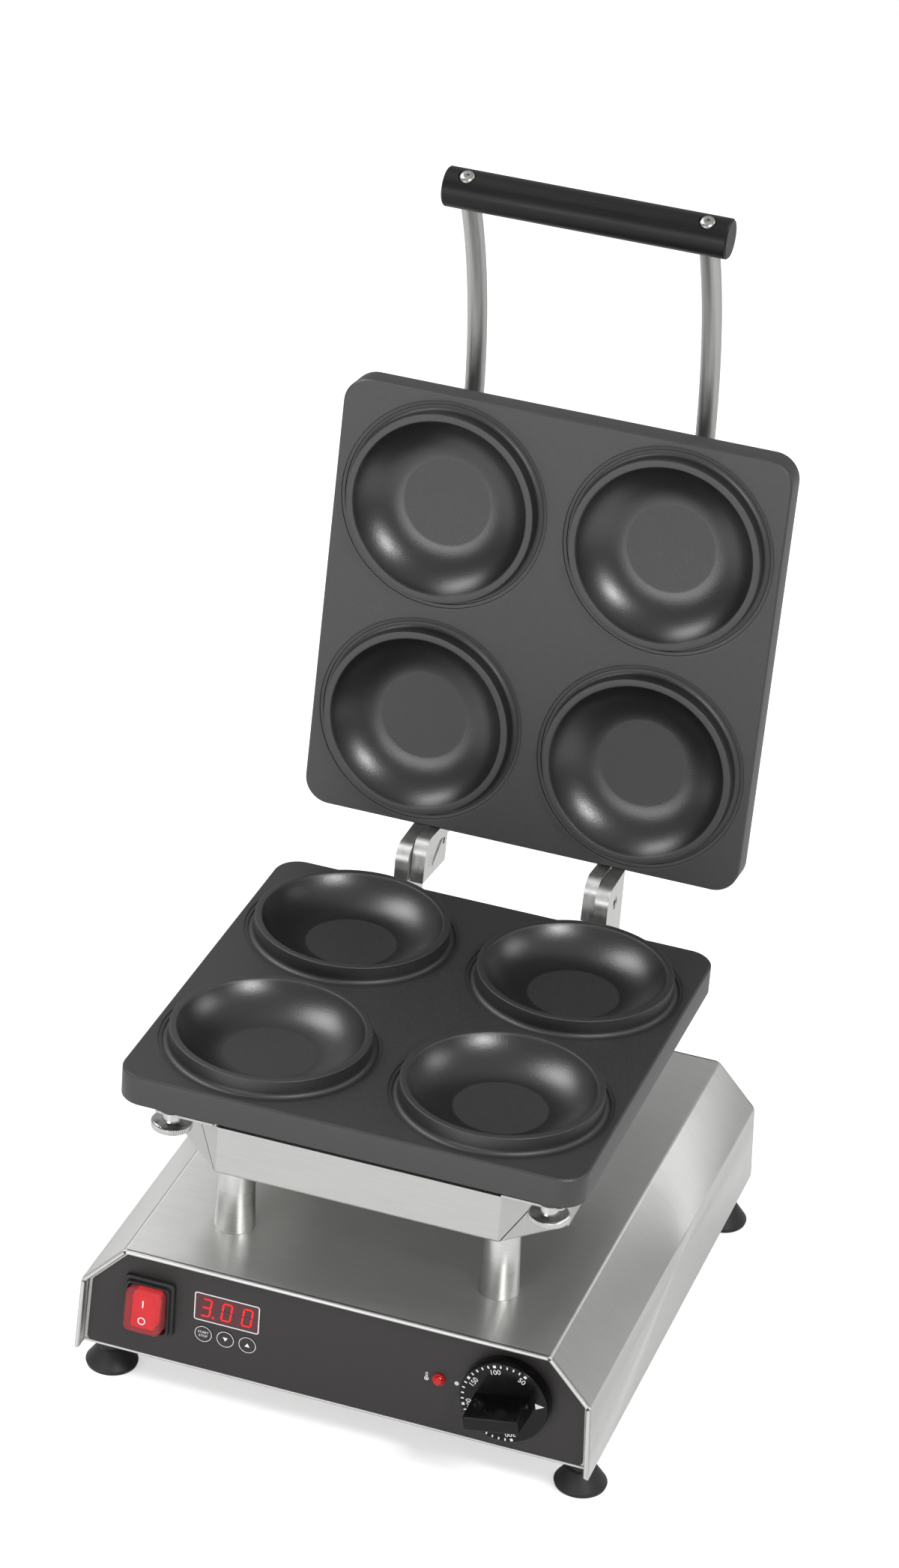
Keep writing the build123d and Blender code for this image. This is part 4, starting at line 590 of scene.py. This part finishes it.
def plate_quarter(inset):
    """The outline of one quarter of a plate, from its right side's middle to its far side's middle.

    The sides' points stay where rays from the dish's centre meet the plate's edge, and the corner's points
    turn about the corner's centre.
    """
    half_x, half_y = PLATE_HALF
    core = (half_x - PLATE_CORNER, half_y - PLATE_CORNER)
    edge_x = half_x - PLATE_EDGE - DISH[0]
    edge_y = half_y - PLATE_EDGE - DISH[1]
    rise = np.linspace(np.arctan2(-DISH[1], edge_x), np.arctan2(core[1] - DISH[1], edge_x), SIDE_POINTS)
    side = np.stack([np.full(SIDE_POINTS, half_x - inset), DISH[1] + edge_x * np.tan(rise)], 1)
    turn = np.linspace(0.0, pi / 2.0, 14)[1:-1]
    corner = np.stack([core[0] + (PLATE_CORNER - inset) * np.cos(turn),
                       core[1] + (PLATE_CORNER - inset) * np.sin(turn)], 1)
    lean = np.linspace(np.arctan2(core[0] - DISH[0], edge_y), np.arctan2(-DISH[0], edge_y), SIDE_POINTS)
    back = np.stack([DISH[0] + edge_y * np.tan(lean), np.full(SIDE_POINTS, half_y - inset)], 1)
    return np.concatenate([side, corner, back])


def all_round(quarter):
    """A quarter's outline mirrored to all four quarters, as one closed loop."""
    left = quarter[::-1] * (-1.0, 1.0)
    return np.concatenate([quarter, left[1:], -quarter[1:], left[1:-1] * -1.0])


def plate_shells():
    """A plate: four cells, each its dish's rings drawn out along rays to its edge, then walls and a back.

    With it come marks for the piece's brush attribute, 1 where a bowl's wall is and 0 elsewhere.
    """
    outer = plate_quarter(PLATE_EDGE)
    inward = np.linspace(1.0, 0.0, 25)[1:, None] * (0.0, outer[-1, 1])
    home = np.linspace(0.0, 1.0, 25)[1:-1, None] * (outer[0, 0], 0.0)
    cell = np.concatenate([outer, inward, home])
    ray = cell - DISH
    ray = ray / np.linalg.norm(ray, axis=1)[:, None]
    profile = dish_profile()
    rings = np.concatenate([DISH + profile[:, :1, None] * ray, cell[None]])
    high = np.append(profile[:, 1], 0.0)
    loops = np.concatenate([rings, np.repeat(high[:, None, None], rings.shape[1], 1)], -1)
    points, faces = stacked(loops, capped=False)
    faces.append(np.arange(loops.shape[1])[None])
    shells = [(points * (sx, sy, 1.0), faces) for sx in (1.0, -1.0) for sy in (1.0, -1.0)]
    in_bowl = np.zeros(loops.shape)
    in_bowl[1:BOWL_RINGS, :, 0] = 1.0 / MM
    marks = [in_bowl.reshape(-1, 3)] * 4
    wall = rounded_line([(1.0 + PLATE_EDGE, 0.0), (PLATE_EDGE, 0.0), (0.0, -PLATE_EDGE),
                         (0.0, -PLATE_THICKNESS), (1.0, -PLATE_THICKNESS)], [0.3, 0.3, 0.5], 3)[1:-1]
    wall[0] = (PLATE_EDGE, 0.0)
    sides = [np.column_stack([all_round(plate_quarter(inset)), np.full(4 * len(outer) - 4, z)])
             for inset, z in wall]
    points, faces = stacked(np.stack(sides), capped=False)
    faces.append(np.arange(len(sides[0]))[None] + (len(sides) - 1) * len(sides[0]))
    shells.append((points, faces))
    for sx, sy in ((-1, -1), (1, -1), (-1, 1), (1, 1)):
        boss = turned([(3.2, EAR_TOP - PLATE_TOP), (8.0, EAR_TOP - PLATE_TOP), (8.0, 1.0 - PLATE_THICKNESS)],
                      40)
        shells.append(moved(boss, placed(sx * STUD[0], sy * STUD[1])))
    marks += [np.zeros_like(shell[0]) for shell in shells[4:]]
    return [moved(shell, placed(0.0, PLATE_Y, PLATE_TOP)) for shell in shells], marks


plate, bowl_marks = plate_shells()
piece("lower_plate_coated", plate, NON_STICK, "base", ["lower_baking_plate"], bowl_marks)
piece("upper_plate_coated", [moved(shell, in_lid) for shell in plate], NON_STICK, "lid",
      ["upper_baking_plate"], bowl_marks)


# Base cover


def cover_line(inset):
    """The cover's section, moved inwards, as a line with sharp corners from right foot to left."""
    right = np.array(COVER_SECTION)
    line = np.concatenate([right, right[::-1] * (-1.0, 1.0)])
    step = np.diff(line, axis=0)
    step /= np.linalg.norm(step, axis=1)[:, None]
    normal = np.stack([-step[:, 1], step[:, 0]], 1)
    bisector = normal[:-1] + normal[1:]
    bisector *= (inset / (1.0 + (normal[:-1] * normal[1:]).sum(1)))[:, None]
    ends = [line[0] + normal[0] * inset, line[-1] + normal[-1] * inset]
    inner = line[1:-1] + bisector
    return np.concatenate([ends[:1], inner, ends[1:]])


def section_path(inset):
    """The inset section with its bends rounded, and each point's way along the outer sheet."""
    line = rounded_line(cover_line(inset), [COVER_BEND - inset + 0.6] * 4, 6)
    way = np.append(0.0, np.cumsum(np.linalg.norm(np.diff(line, axis=0), axis=1)))
    return line, way


def cover_shells():
    """The folded sheet and, on each of its five stretches at both ends, a hem rolled to the inside."""
    low, high = COVER_ENDS
    outer, way = section_path(0.0)
    inner = section_path(COVER_SHEET)[0]
    y_ends = (low + HEM_THICKNESS / 2.0, high - HEM_THICKNESS / 2.0)
    edge = [(outer, y_ends[0]), (outer, y_ends[1]), (inner, y_ends[1]), (inner, y_ends[0])]
    loops = np.stack([np.stack([line[:, 0], np.full(len(line), y), line[:, 1]], 1) for line, y in edge], 1)
    brush = np.stack([np.stack([way, np.full(len(way), y), np.zeros(len(way))], 1) for line, y in edge], 1)
    shells = [stacked(loops)]
    brushes = [brush.reshape(-1, 3)]
    roll = HEM_THICKNESS / 2.0
    turn = np.linspace(0.0, pi, 15)
    outside = np.stack([roll - roll * np.sin(turn), roll - roll * np.cos(turn)], 1)
    hollow = HEM_GAP / 2.0
    inside = np.stack([roll - hollow * np.sin(turn[::-1]), roll - hollow * np.cos(turn[::-1])], 1)
    flap = [(HEM_DEPTH, HEM_THICKNESS), (HEM_DEPTH, HEM_THICKNESS - COVER_SHEET)]
    overlap = [(roll + 0.8, COVER_SHEET), (roll + 0.8, 0.0)]
    profile = np.concatenate([outside, flap, inside, overlap])
    line = cover_line(0.0)
    for start, end in zip(line, line[1:]):
        step = (end - start) / np.linalg.norm(end - start)
        inward = np.array([-step[1], step[0]])
        for side, y_edge in ((1.0, low), (-1.0, high)):
            ends = np.stack([start + step * HEM_CORNER_GAP, end - step * HEM_CORNER_GAP])
            flat = ends[:, None] + profile[None, :, 1:] * inward
            y = np.repeat((y_edge + side * profile[:, 0])[None], 2, 0)
            shells.append(stacked(np.stack([flat[..., 0], y, flat[..., 1]], -1)))
            along = np.array([0.0, np.linalg.norm(end - start)])[:, None] + np.zeros_like(y)
            brushes.append(np.stack([along, y, np.repeat(profile[None, :, 1], 2, 0)], -1).reshape(-1, 3))
    return shells, brushes


cover, cover_brush = cover_shells()
piece("base_cover_sheet", cover, STAINLESS, "base", ["base_cover"], cover_brush)


# Feet and legs, drawn as radius and height

FOOT = rounded_line([(2.6, 0.0), (15.2, 0.0), (16.0, 2.5), (9.0, 12.5), (7.5, 13.5), (7.5, FOOT_TOP),
                     (2.6, FOOT_TOP)], [0.6, 1.2, 1.0, 0.6, 0.8], 5)
piece("feet_rubber", [moved(turned(FOOT, 72), placed(x, y)) for x, y in FOOT_PLACES], RUBBER, "base",
      ["rubber_feet"])

LEG = rounded_line([(5.3, COVER_TOP), (12.2, COVER_TOP), (9.8, TRAY_BOTTOM), (5.3, TRAY_BOTTOM)],
                   [0.3, 0.4], 3)
piece("legs_turned", [moved(turned(LEG, 96), placed(x, y)) for x, y in LEG_PLACES], TURNED_ALUMINIUM, "base",
      ["cone_legs"])


# Thumb nuts

NUT_TEETH = 56
TOOTH_DEPTH = 0.35


def knurl(profile, turn):
    """Teeth on the disc's side alone: a rounded wave of the turn that fades out at its bevels."""
    side = np.clip(profile[:, 0] - 11.0, 0.0, 1.0)[:, None]
    return -TOOTH_DEPTH * side * (0.5 - 0.5 * np.cos(turn * NUT_TEETH))[None]


def nut_shell():
    """A bevelled disc under a plain stem, bored through, drawn as radius and height, with its top on Z 0."""
    disc = [(3.1, -10.8), (10.6, -10.8), (12.2, -10.0), (12.2, -6.8), (10.9, -5.8)]
    stem = [(5.6, -5.8), (5.6, 0.0), (3.1, 0.0)]
    line = rounded_line(disc + stem, [0.3, 0.3, 0.3, 0.3, 0.5, 0.3], 2)
    return turned(line, NUT_TEETH * 5, ring=True, flute=knurl)


nut = nut_shell()
for sx, side in ((-1, "left"), (1, "right")):
    for sy, end in ((-1, "front"), (1, "rear")):
        lower = "lower_thumb_nut_%s_%s" % (end, side)
        upper = "upper_thumb_nut_%s_%s" % (end, side)
        below_ear = moved(nut, placed(sx * STUD[0], PLATE_Y + sy * STUD[1], EAR_BOTTOM - 0.1))
        piece(lower + "_knurled", [below_ear], TURNED_STEEL, lower, [lower])
        piece(upper + "_knurled", [moved(below_ear, in_lid)], TURNED_STEEL, upper, [upper])


# Handle


# Y and Z of the way a rod's last straight takes
ROD_AHEAD = np.array([-cos(ROD_BEND_ANGLE), -sin(ROD_BEND_ANGLE)])


def rod_line():
    """Y and Z along a closed lid's rod: straight, an arc of ROD_BEND_ANGLE downwards, straight to its tip."""
    turn = np.linspace(0.0, ROD_BEND_ANGLE, 40)
    start = np.array([[ROD_BEND_Y + ROD_STRAIGHT, ROD_Z]])
    bend = np.stack([ROD_BEND_Y - ROD_BEND_RADIUS * np.sin(turn),
                     ROD_Z - ROD_BEND_RADIUS * (1.0 - np.cos(turn))], 1)
    tip = bend[-1] + ROD_AHEAD * ROD_REACH
    return np.concatenate([start, bend, [tip - ROD_AHEAD * GRIP_TIP_INSET]]), tip


def rod_shell(x):
    """A circle carried along the rod's line, square to it, and how far each point is along and round it."""
    line = rod_line()[0]
    ahead = np.gradient(line, axis=0)
    ahead /= np.linalg.norm(ahead, axis=1)[:, None]
    across = np.stack([-ahead[:, 1], ahead[:, 0]], 1)
    turn = np.arange(40) * 2.0 * pi / 40
    flat = line[:, None] + ROD_RADIUS * np.sin(turn)[None, :, None] * across[:, None]
    level = np.repeat((x + ROD_RADIUS * np.cos(turn))[None], len(line), 0)
    way = np.append(0.0, np.cumsum(np.linalg.norm(np.diff(line, axis=0), axis=1)))
    round_it = ROD_RADIUS * np.stack([np.cos(turn), np.sin(turn)], 1)[None].repeat(len(line), 0)
    brush = np.concatenate([np.repeat(way[:, None, None] + 500.0 * (x > 0), 40, 1), round_it], -1)
    return stacked(np.concatenate([level[..., None], flat], -1)), brush.reshape(-1, 3)


rods = [rod_shell(x) for x in (-ROD_X, ROD_X)]
piece("handle_rods_bent", [moved(shell, opened) for shell, brush in rods], ROD_STEEL, "lid",
      ["handle_rods"], [brush for shell, brush in rods])


def button_head():
    """A domed screw head with a hexagon socket: rings from the socket's flats out to the rim and down."""
    turn = np.arange(72) * 2.0 * pi / 72
    flat = 1.5 / np.cos((turn % (pi / 3.0)) - pi / 6.0)
    dome = rounded_line([(2.2, 2.6), (3.2, 2.45), (4.5, 1.4), (4.75, 0.0)], [3.0, 1.2], 6)
    rings = [(flat, 0.9), (flat, 2.45), (flat + 0.15, 2.6)] + [(np.full(72, r), z) for r, z in dome]
    loops = np.stack([np.stack([r * np.cos(turn), r * np.sin(turn), np.full(72, z)], 1) for r, z in rings])
    return stacked(loops)


SCREW_SHANK = turned([(2.5, -24.0), (2.5, 0.0)], 40)


def into_grip(x):
    """Stands a screw head, drawn along Z, on its seat in the grip, in line with a rod."""
    seat = rod_line()[1] + ROD_AHEAD * (GRIP_RADIUS - GRIP_SCREW_SEAT)
    aside = np.array([-ROD_AHEAD[1], ROD_AHEAD[0]])

    def change(points):
        flat = seat + points[:, 2:] * ROD_AHEAD + points[:, 1:2] * aside
        return opened(np.column_stack([x + points[:, 0], flat]))
    return change


piece("handle_screws_button", [moved(shell, into_grip(x)) for x in (-ROD_X, ROD_X)
                               for shell in (button_head(), SCREW_SHANK)], ZINC, "lid",
      ["handle_screws"])


# Switch, lamp and knob


def gasket_shell():
    """The rubber frame: flange, rounded step and collar, then down inside to the switch.

    Each row is a loop's width, height, corner and Z.
    """
    rows = [(21.4, 29.4, 0.6, 0.0), (31.2, 37.3, 3.0, 0.0), (31.2, 37.3, 3.0, 2.0), (30.8, 36.9, 2.8, 2.45),
            (30.2, 36.3, 2.5, 2.6), (28.6, 34.7, 2.9, 2.62), (27.8, 33.9, 3.0, 2.9), (27.6, 33.7, 3.0, 3.4),
            (27.6, 33.7, 3.0, 5.3), (27.3, 33.4, 2.9, 5.8), (26.6, 32.7, 2.6, 6.0), (25.0, 31.8, 3.4, 6.0),
            (24.4, 31.2, 3.2, 5.7), (24.4, 31.2, 3.2, 0.0)]
    return stacked(level_loops(rows), ring=True)


piece("switch_frame_rubber", [moved(gasket_shell(), on_panel(SWITCH, FILM_Y))], RUBBER, "base",
      ["switch_gasket"])


# The cap's width, height and corner, the Z of its foot, its wall and the radius of its front edge
BOOT = (23.6, 28.6, 4.5)
BOOT_FOOT = 3.8
BOOT_WALL = 1.2
BOOT_EDGE = 1.8


def boot_shell():
    """The clear cap: walls, an arc to its front, and the same inside, smaller by the wall."""
    start = BOOT_REACH - BOOT_EDGE
    inside = (BOOT[0] - 2 * BOOT_WALL, BOOT[1] - 2 * BOOT_WALL, BOOT[2] - BOOT_WALL)
    outer = [BOOT + (BOOT_FOOT,)] + edge_rows(*BOOT, start, BOOT_EDGE, steps=7)
    inner = edge_rows(*inside, start, BOOT_EDGE - BOOT_WALL, steps=7)[::-1] + [inside + (BOOT_FOOT,)]
    points, faces = stacked(level_loops(outer + inner), capped=False)
    count = len(outer)
    quads = faces[0].reshape(-1, LOOP_POINTS, 4)
    column = np.arange(LOOP_POINTS)
    after = (column + 1) % LOOP_POINTS
    last = (len(outer) + len(inner) - 1) * LOOP_POINTS
    faces = [np.delete(quads, count - 1, 0).reshape(-1, 4), column[None] + (count - 1) * LOOP_POINTS,
             column[None] + count * LOOP_POINTS, np.stack([column, after, after + last, column + last], 1)]
    return points, faces


piece("switch_cap_clear", [moved(moved(boot_shell(), on_panel(SWITCH, FILM_Y)), tilted)], RED_BOOT, "rocker",
      ["switch_boot"])

ROCKER = rounded_block(14.5, 22.0, 1.5, 16.0, 0.8)
piece("switch_rocker_lit", [moved(moved(ROCKER, on_panel(SWITCH, FILM_Y + 4.5)), tilted)], RED_ROCKER,
      "rocker", ["switch_rocker"])


def lens_shell():
    """The lamp's lens: a plain flange, then a dome whose shoulder has twelve flutes."""
    line = rounded_line([(3.9, 0.0), (3.9, 1.4), (3.4, 1.4), (3.4, 2.3), (2.5, 3.2), (0.9, 3.2)],
                        [0.3, 0.1, 0.3, 0.4], 4)

    def flutes(profile, turn):
        shoulder = ((profile[:, 1] > 1.5) & (profile[:, 0] > 2.4)).astype(float)[:, None]
        return -0.18 * shoulder * np.abs(np.cos(turn * 6.0))[None]
    return turned(line, 96, flute=flutes)


piece("pilot_lamp_fluted", [moved(lens_shell(), on_panel(LAMP, FILM_Y))], RED_LENS, "base",
      ["pilot_lamp_lens"])

SKIRT = rounded_line([(24.9, 0.0), (KNOB_RADIUS, 0.0), (KNOB_RADIUS, KNOB_SKIRT), (20.0, KNOB_SKIRT)],
                     [0.3, 1.0], 5)
SKIRT_INSIDE = [(24.9, 6.8), (6.5, 6.8), (6.5, 1.0), (3.0, 1.0)]


def knob_shells():
    """The skirt, closed behind by its wall and hub, and the bar that narrows as it rises."""
    back = np.array(SKIRT_INSIDE[::-1])
    skirt = turned(np.concatenate([back, SKIRT]), 128)
    turn = np.linspace(0.0, pi / 2.0, 6)
    rows = [(33.5, 11.6, 1.2, 8.0)]
    rows += [(33.5 - 1.6 * (1.0 - cos(t)), 8.65 - 1.6 * (1.0 - cos(t)), 1.2 - 0.6 * (1.0 - cos(t)),
              KNOB_SKIRT + KNOB_BAR_HEIGHT - 0.8 + 0.8 * sin(t)) for t in turn]
    return [skirt, stacked(level_loops(rows))]


piece("thermostat_knob_glossy",
      [moved(shell, on_panel(KNOB, KNOB_BACK_Y, KNOB_TURN)) for shell in knob_shells()],
      PHENOLIC, "thermostat", ["thermostat_knob"])


# Print on the panel, the keys, the switch and the knob


def outline_ring(width, height, corner, line):
    """A thin frame of even width round a rounded rectangle."""
    inside = (width - 2 * line, height - 2 * line, corner - line)
    rows = [(width, height, corner, 0.0), (width, height, corner, PRINT_THICKNESS),
            inside + (PRINT_THICKNESS,), inside + (0.0,)]
    return stacked(level_loops(rows), ring=True)


def circle_ring(radius, line):
    """A thin ring between radius and radius - line."""
    return turned([(radius, 0.0), (radius, PRINT_THICKNESS), (radius - line, PRINT_THICKNESS),
                   (radius - line, 0.0)], 64, ring=True)


def dot(radius):
    """A round mark centred on the origin."""
    return turned([(radius, 0.0), (radius, PRINT_THICKNESS)], 40)


def bar_mark(width, height):
    """A short straight mark centred on the origin."""
    return pressed([(-width / 2, -height / 2), (width / 2, -height / 2), (width / 2, height / 2),
                    (-width / 2, height / 2)], PRINT_THICKNESS)


def triangle(width, height):
    """An upward triangle with its middle on the origin."""
    return pressed([(-width / 2, -height / 2), (width / 2, -height / 2), (0.0, height / 2)], PRINT_THICKNESS)


def thermometer():
    """A thermometer's outline, a narrow tube with a round end above a bulb, and the thread in it."""
    turn = np.linspace(radians(-240.0), radians(60.0), 24)
    bulb = np.stack([1.35 * np.cos(turn), 1.35 * np.sin(turn) - 1.6], 1)
    dome = np.linspace(0.0, pi, 10)
    stem = np.stack([0.68 * np.cos(dome), 0.68 * np.sin(dome) + 2.1], 1)
    outer = np.concatenate([bulb, stem])
    inner = (outer - (0.0, 0.1)) * (0.62, 0.86)
    levels = [(outer, 0.0), (outer, PRINT_THICKNESS), (inner, PRINT_THICKNESS), (inner, 0.0)]
    loops = [np.column_stack([line, np.full(len(line), z)]) for line, z in levels]
    frame_line = stacked(np.stack(loops), ring=True)
    thread = moved(bar_mark(0.3, 2.2), placed(0.0, -0.2))
    return [frame_line, thread, moved(dot(0.5), placed(0.0, -1.6))]


print_shells = [moved(outline_ring(**DISPLAY_FRAME), on_panel(DISPLAY, FILM_Y))]
print_shells += [moved(shell, on_panel(THERMOMETER, FILM_Y)) for shell in thermometer()]
print_shells.append(moved(dot(1.35), on_panel(KNOB_DOT, FILM_Y)))
piece("panel_print", print_shells, WHITE_PRINT, "base")


def front_fold():
    """The bend at the front wall's foot: a half round of the sheet along the film's lower edge."""
    turn = np.linspace(-pi / 2.0, pi / 2.0, 13)
    bend = np.stack([FOLD[0] - FOLD_RADIUS * np.cos(turn), FOLD[1] + FOLD_RADIUS * np.sin(turn)], 1)
    ends = [np.column_stack([np.full(len(bend), x), bend]) for x in (-FOLD_HALF, FOLD_HALF)]
    return stacked(np.stack(ends))


piece("chassis_front_fold", [front_fold()], STAINLESS_CAD, "base")

KEY_SIGNS = {
    "key_start_stop": (-1, [moved(lettering("START", 2.3), placed(0.0, 1.25)),
                            moved(lettering("STOP", 2.3), placed(0.0, -1.25))]),
    "key_down": (0, [moved(triangle(3.2, 2.6), lambda points: points * (1.0, -1.0, 1.0))]),
    "key_up": (1, [triangle(3.2, 2.6)]),
}
for key, (column, signs) in KEY_SIGNS.items():
    at = on_panel((DISPLAY[0] + column * KEY_PITCH, KEY_Z), KEY_FACE_Y)
    piece(key + "_print", [moved(shell, at) for shell in [circle_ring(5.35, 0.34)] + signs], WHITE_PRINT, key)

SWITCH_SIGNS = [moved(bar_mark(0.8, 4.6), placed(0.0, 5.4)), moved(circle_ring(2.4, 0.6), placed(0.0, -5.6))]
piece("switch_signs", [moved(moved(shell, on_panel(SWITCH, BOOT_FRONT_Y)), tilted) for shell in SWITCH_SIGNS],
      WHITE_PRINT, "rocker")


def segment(start, end, width=1.1):
    """A bar with pointed ends between two points."""
    start, end = np.array(start), np.array(end)
    ahead = (end - start) / np.linalg.norm(end - start)
    aside = np.array([-ahead[1], ahead[0]]) * width / 2.0
    tip = ahead * width / 2.0
    corners = [start, start + tip - aside, end - tip - aside, end, end - tip + aside, start + tip + aside]
    return pressed(corners, PRINT_THICKNESS)


DIGIT_LINES = {
    "a": ((-2.6, 5.9), (2.6, 5.9)), "b": ((2.7, 5.7), (2.7, 0.15)), "c": ((2.7, -0.15), (2.7, -5.7)),
    "d": ((-2.6, -5.9), (2.6, -5.9)), "e": ((-2.7, -0.15), (-2.7, -5.7)), "f": ((-2.7, 5.7), (-2.7, 0.15)),
    "g": ((-2.6, 0.0), (2.6, 0.0)),
}


def slanted(points):
    """Digits lean right by 0.12 of their height."""
    return points + np.outer(points[:, 1], (0.12, 0.0, 0.0))


lit = []
dim = []
for place, shown in ((-DIGIT_PITCH, "abcdg"), (0.0, "abcdef"), (DIGIT_PITCH, "abcdef")):
    for name, (start, end) in DIGIT_LINES.items():
        part = moved(moved(segment(start, end), slanted), placed(place, 0.0))
        (lit if name in shown else dim).append(moved(part, on_panel(DISPLAY, FILM_Y - PRINT_THICKNESS)))
lit.append(moved(moved(dot(0.75), placed(-8.4, -6.0)), on_panel(DISPLAY, FILM_Y)))
piece("display_digits_lit", lit, LIT_SEGMENT, "base")
piece("display_digits_unlit", dim, DIM_SEGMENT, "base")


def on_knob(shell, radius, turn, spin):
    """Places a mark on the knob's face at a radius and turn, spun about its own middle."""
    c, s = cos(spin), sin(spin)

    def change(points):
        across = points[:, 0] * c - points[:, 1] * s + radius * cos(turn)
        up = points[:, 0] * s + points[:, 1] * c + radius * sin(turn)
        return np.stack([across, up, points[:, 2]], 1)
    return moved(moved(shell, change), on_panel(KNOB, KNOB_FACE_Y))


scale = []
for step in range(SCALE_MARKS):
    turn = radians(SCALE_START + SCALE_STEP * step)
    numbered = step % MARKS_TO_NUMBER == 0
    wide = 1.7 if numbered else 0.85
    scale.append(on_knob(bar_mark(wide, 1.7), SCALE_RADIUS, turn, turn - pi / 2.0))
    if numbered:
        number = lettering(str(SCALE_LOWEST + SCALE_RISE * step), 4.6)
        scale.append(on_knob(number, NUMBER_RADIUS, turn, turn - pi / 2.0))
scale.append(on_knob(triangle(3.8, 5.4), POINTER_RADIUS, KNOB_TURN, KNOB_TURN - pi / 2.0))
piece("thermostat_scale", scale, WHITE_PRINT, "thermostat")


# Camera, floor and light

# The camera's angles and place, solved from the plates, base, legs and feet in the photograph
CAMERA_YAW = radians(16.6205)
CAMERA_PITCH = radians(28.3522)
CAMERA_ROLL = radians(4.5123)
CAMERA_PLACE = Vector((0.68770, -2.33171, 1.67040))
FOCAL_PIXELS = 6342.1
FRAME_HEIGHT = 2094.0
SENSOR = 36.0


def camera_turn():
    """The camera's axes as columns: its right, its up and its back, with the roll turning the first two."""
    right = Vector((cos(CAMERA_YAW), sin(CAMERA_YAW), 0.0))
    level = cos(CAMERA_PITCH)
    back = Vector((sin(CAMERA_YAW) * level, -cos(CAMERA_YAW) * level, sin(CAMERA_PITCH)))
    up = back.cross(right)
    across = right * cos(CAMERA_ROLL) + up * sin(CAMERA_ROLL)
    upward = up * cos(CAMERA_ROLL) - right * sin(CAMERA_ROLL)
    return Matrix((across, upward, back)).transposed()


lens = bpy.data.cameras.new("camera")
lens.sensor_fit = "VERTICAL"
lens.sensor_height = SENSOR
lens.lens = FOCAL_PIXELS * SENSOR / FRAME_HEIGHT
camera = bpy.data.objects.new("camera", lens)
camera.matrix_world = Matrix.Translation(CAMERA_PLACE) @ camera_turn().to_4x4()
bpy.context.scene.collection.objects.link(camera)
bpy.context.scene.camera = camera


def floor_material():
    """White paper that glows where it is seen, so the lit floor is white and only shadows stay on it."""
    made = material("pale_paper", "#f4f4f4", 0.95)
    tree = made.node_tree
    seen = node(tree, "ShaderNodeLightPath").outputs["Is Camera Ray"]
    glow = node(tree, "ShaderNodeMath", {1: 0.5}, {0: seen}, operation="MULTIPLY")
    shader = tree.nodes["Principled BSDF"]
    shader.inputs["Emission Color"].default_value = (1.0, 1.0, 1.0, 1.0)
    tree.links.new(glow.outputs[0], shader.inputs["Emission Strength"])
    return made


floor_mesh = bpy.data.meshes.new("floor")
floor_corners = [(-9.0, -6.0, 0.0), (9.0, -6.0, 0.0), (9.0, 12.0, 0.0), (-9.0, 12.0, 0.0)]
floor_mesh.from_pydata(floor_corners, [], [(0, 1, 2, 3)])
floor_mesh.materials.append(floor_material())
floor = bpy.data.objects.new("floor", floor_mesh)
bpy.context.scene.collection.objects.link(floor)

world = bpy.data.worlds.new("studio")
bpy.context.scene.world = world
world.use_nodes = True
world_tree = world.node_tree
# A white room that is brighter above and behind the object; where the camera sees it, it is plain white
way = node(world_tree, "ShaderNodeTexCoord").outputs["Generated"]
height = node(world_tree, "ShaderNodeVectorMath", {1: (0.0, 0.1, 0.65)}, {0: way}, operation="DOT_PRODUCT")
room = node(world_tree, "ShaderNodeMapRange",
            {"From Min": -0.2, "From Max": 0.7, "To Min": 0.25, "To Max": 0.6},
            {"Value": height.outputs["Value"]})
seen = node(world_tree, "ShaderNodeLightPath").outputs["Is Camera Ray"]
sky = node(world_tree, "ShaderNodeMix", {3: 1.0}, {0: seen, 2: room.outputs["Result"]}, data_type="FLOAT")
world_tree.nodes["Background"].inputs["Color"].default_value = (1.0, 1.0, 1.0, 1.0)
world_tree.links.new(sky.outputs[0], world_tree.nodes["Background"].inputs["Strength"])


def softbox(name, place, target, width, height, watts):
    """A rectangular area light at a place, turned to face a target."""
    lamp = bpy.data.lights.new(name, "AREA")
    lamp.shape = "RECTANGLE"
    lamp.size = width
    lamp.size_y = height
    lamp.energy = watts
    holder = bpy.data.objects.new(name, lamp)
    holder.location = place
    holder.rotation_euler = (Vector(target) - Vector(place)).to_track_quat("-Z", "Y").to_euler()
    bpy.context.scene.collection.objects.link(holder)
    return holder


softbox("softbox_key", (1.27, -1.25, 1.69), (0.0, 0.1, 0.36), 0.45, 0.45, 26.0)
softbox("softbox_left", (-1.5, 0.1, 2.1), (0.0, 0.0, 0.25), 1.2, 1.2, 29.0)
softbox("softbox_front", (-0.7, -2.5, 0.45), (0.0, 0.1, 0.35), 1.5, 0.8, 17.5)
softbox("softbox_back", (2.3, 1.2, 1.9), (0.4, 0.2, 0.0), 1.0, 1.0, 12.0)

bpy.context.scene.view_settings.view_transform = "Standard"
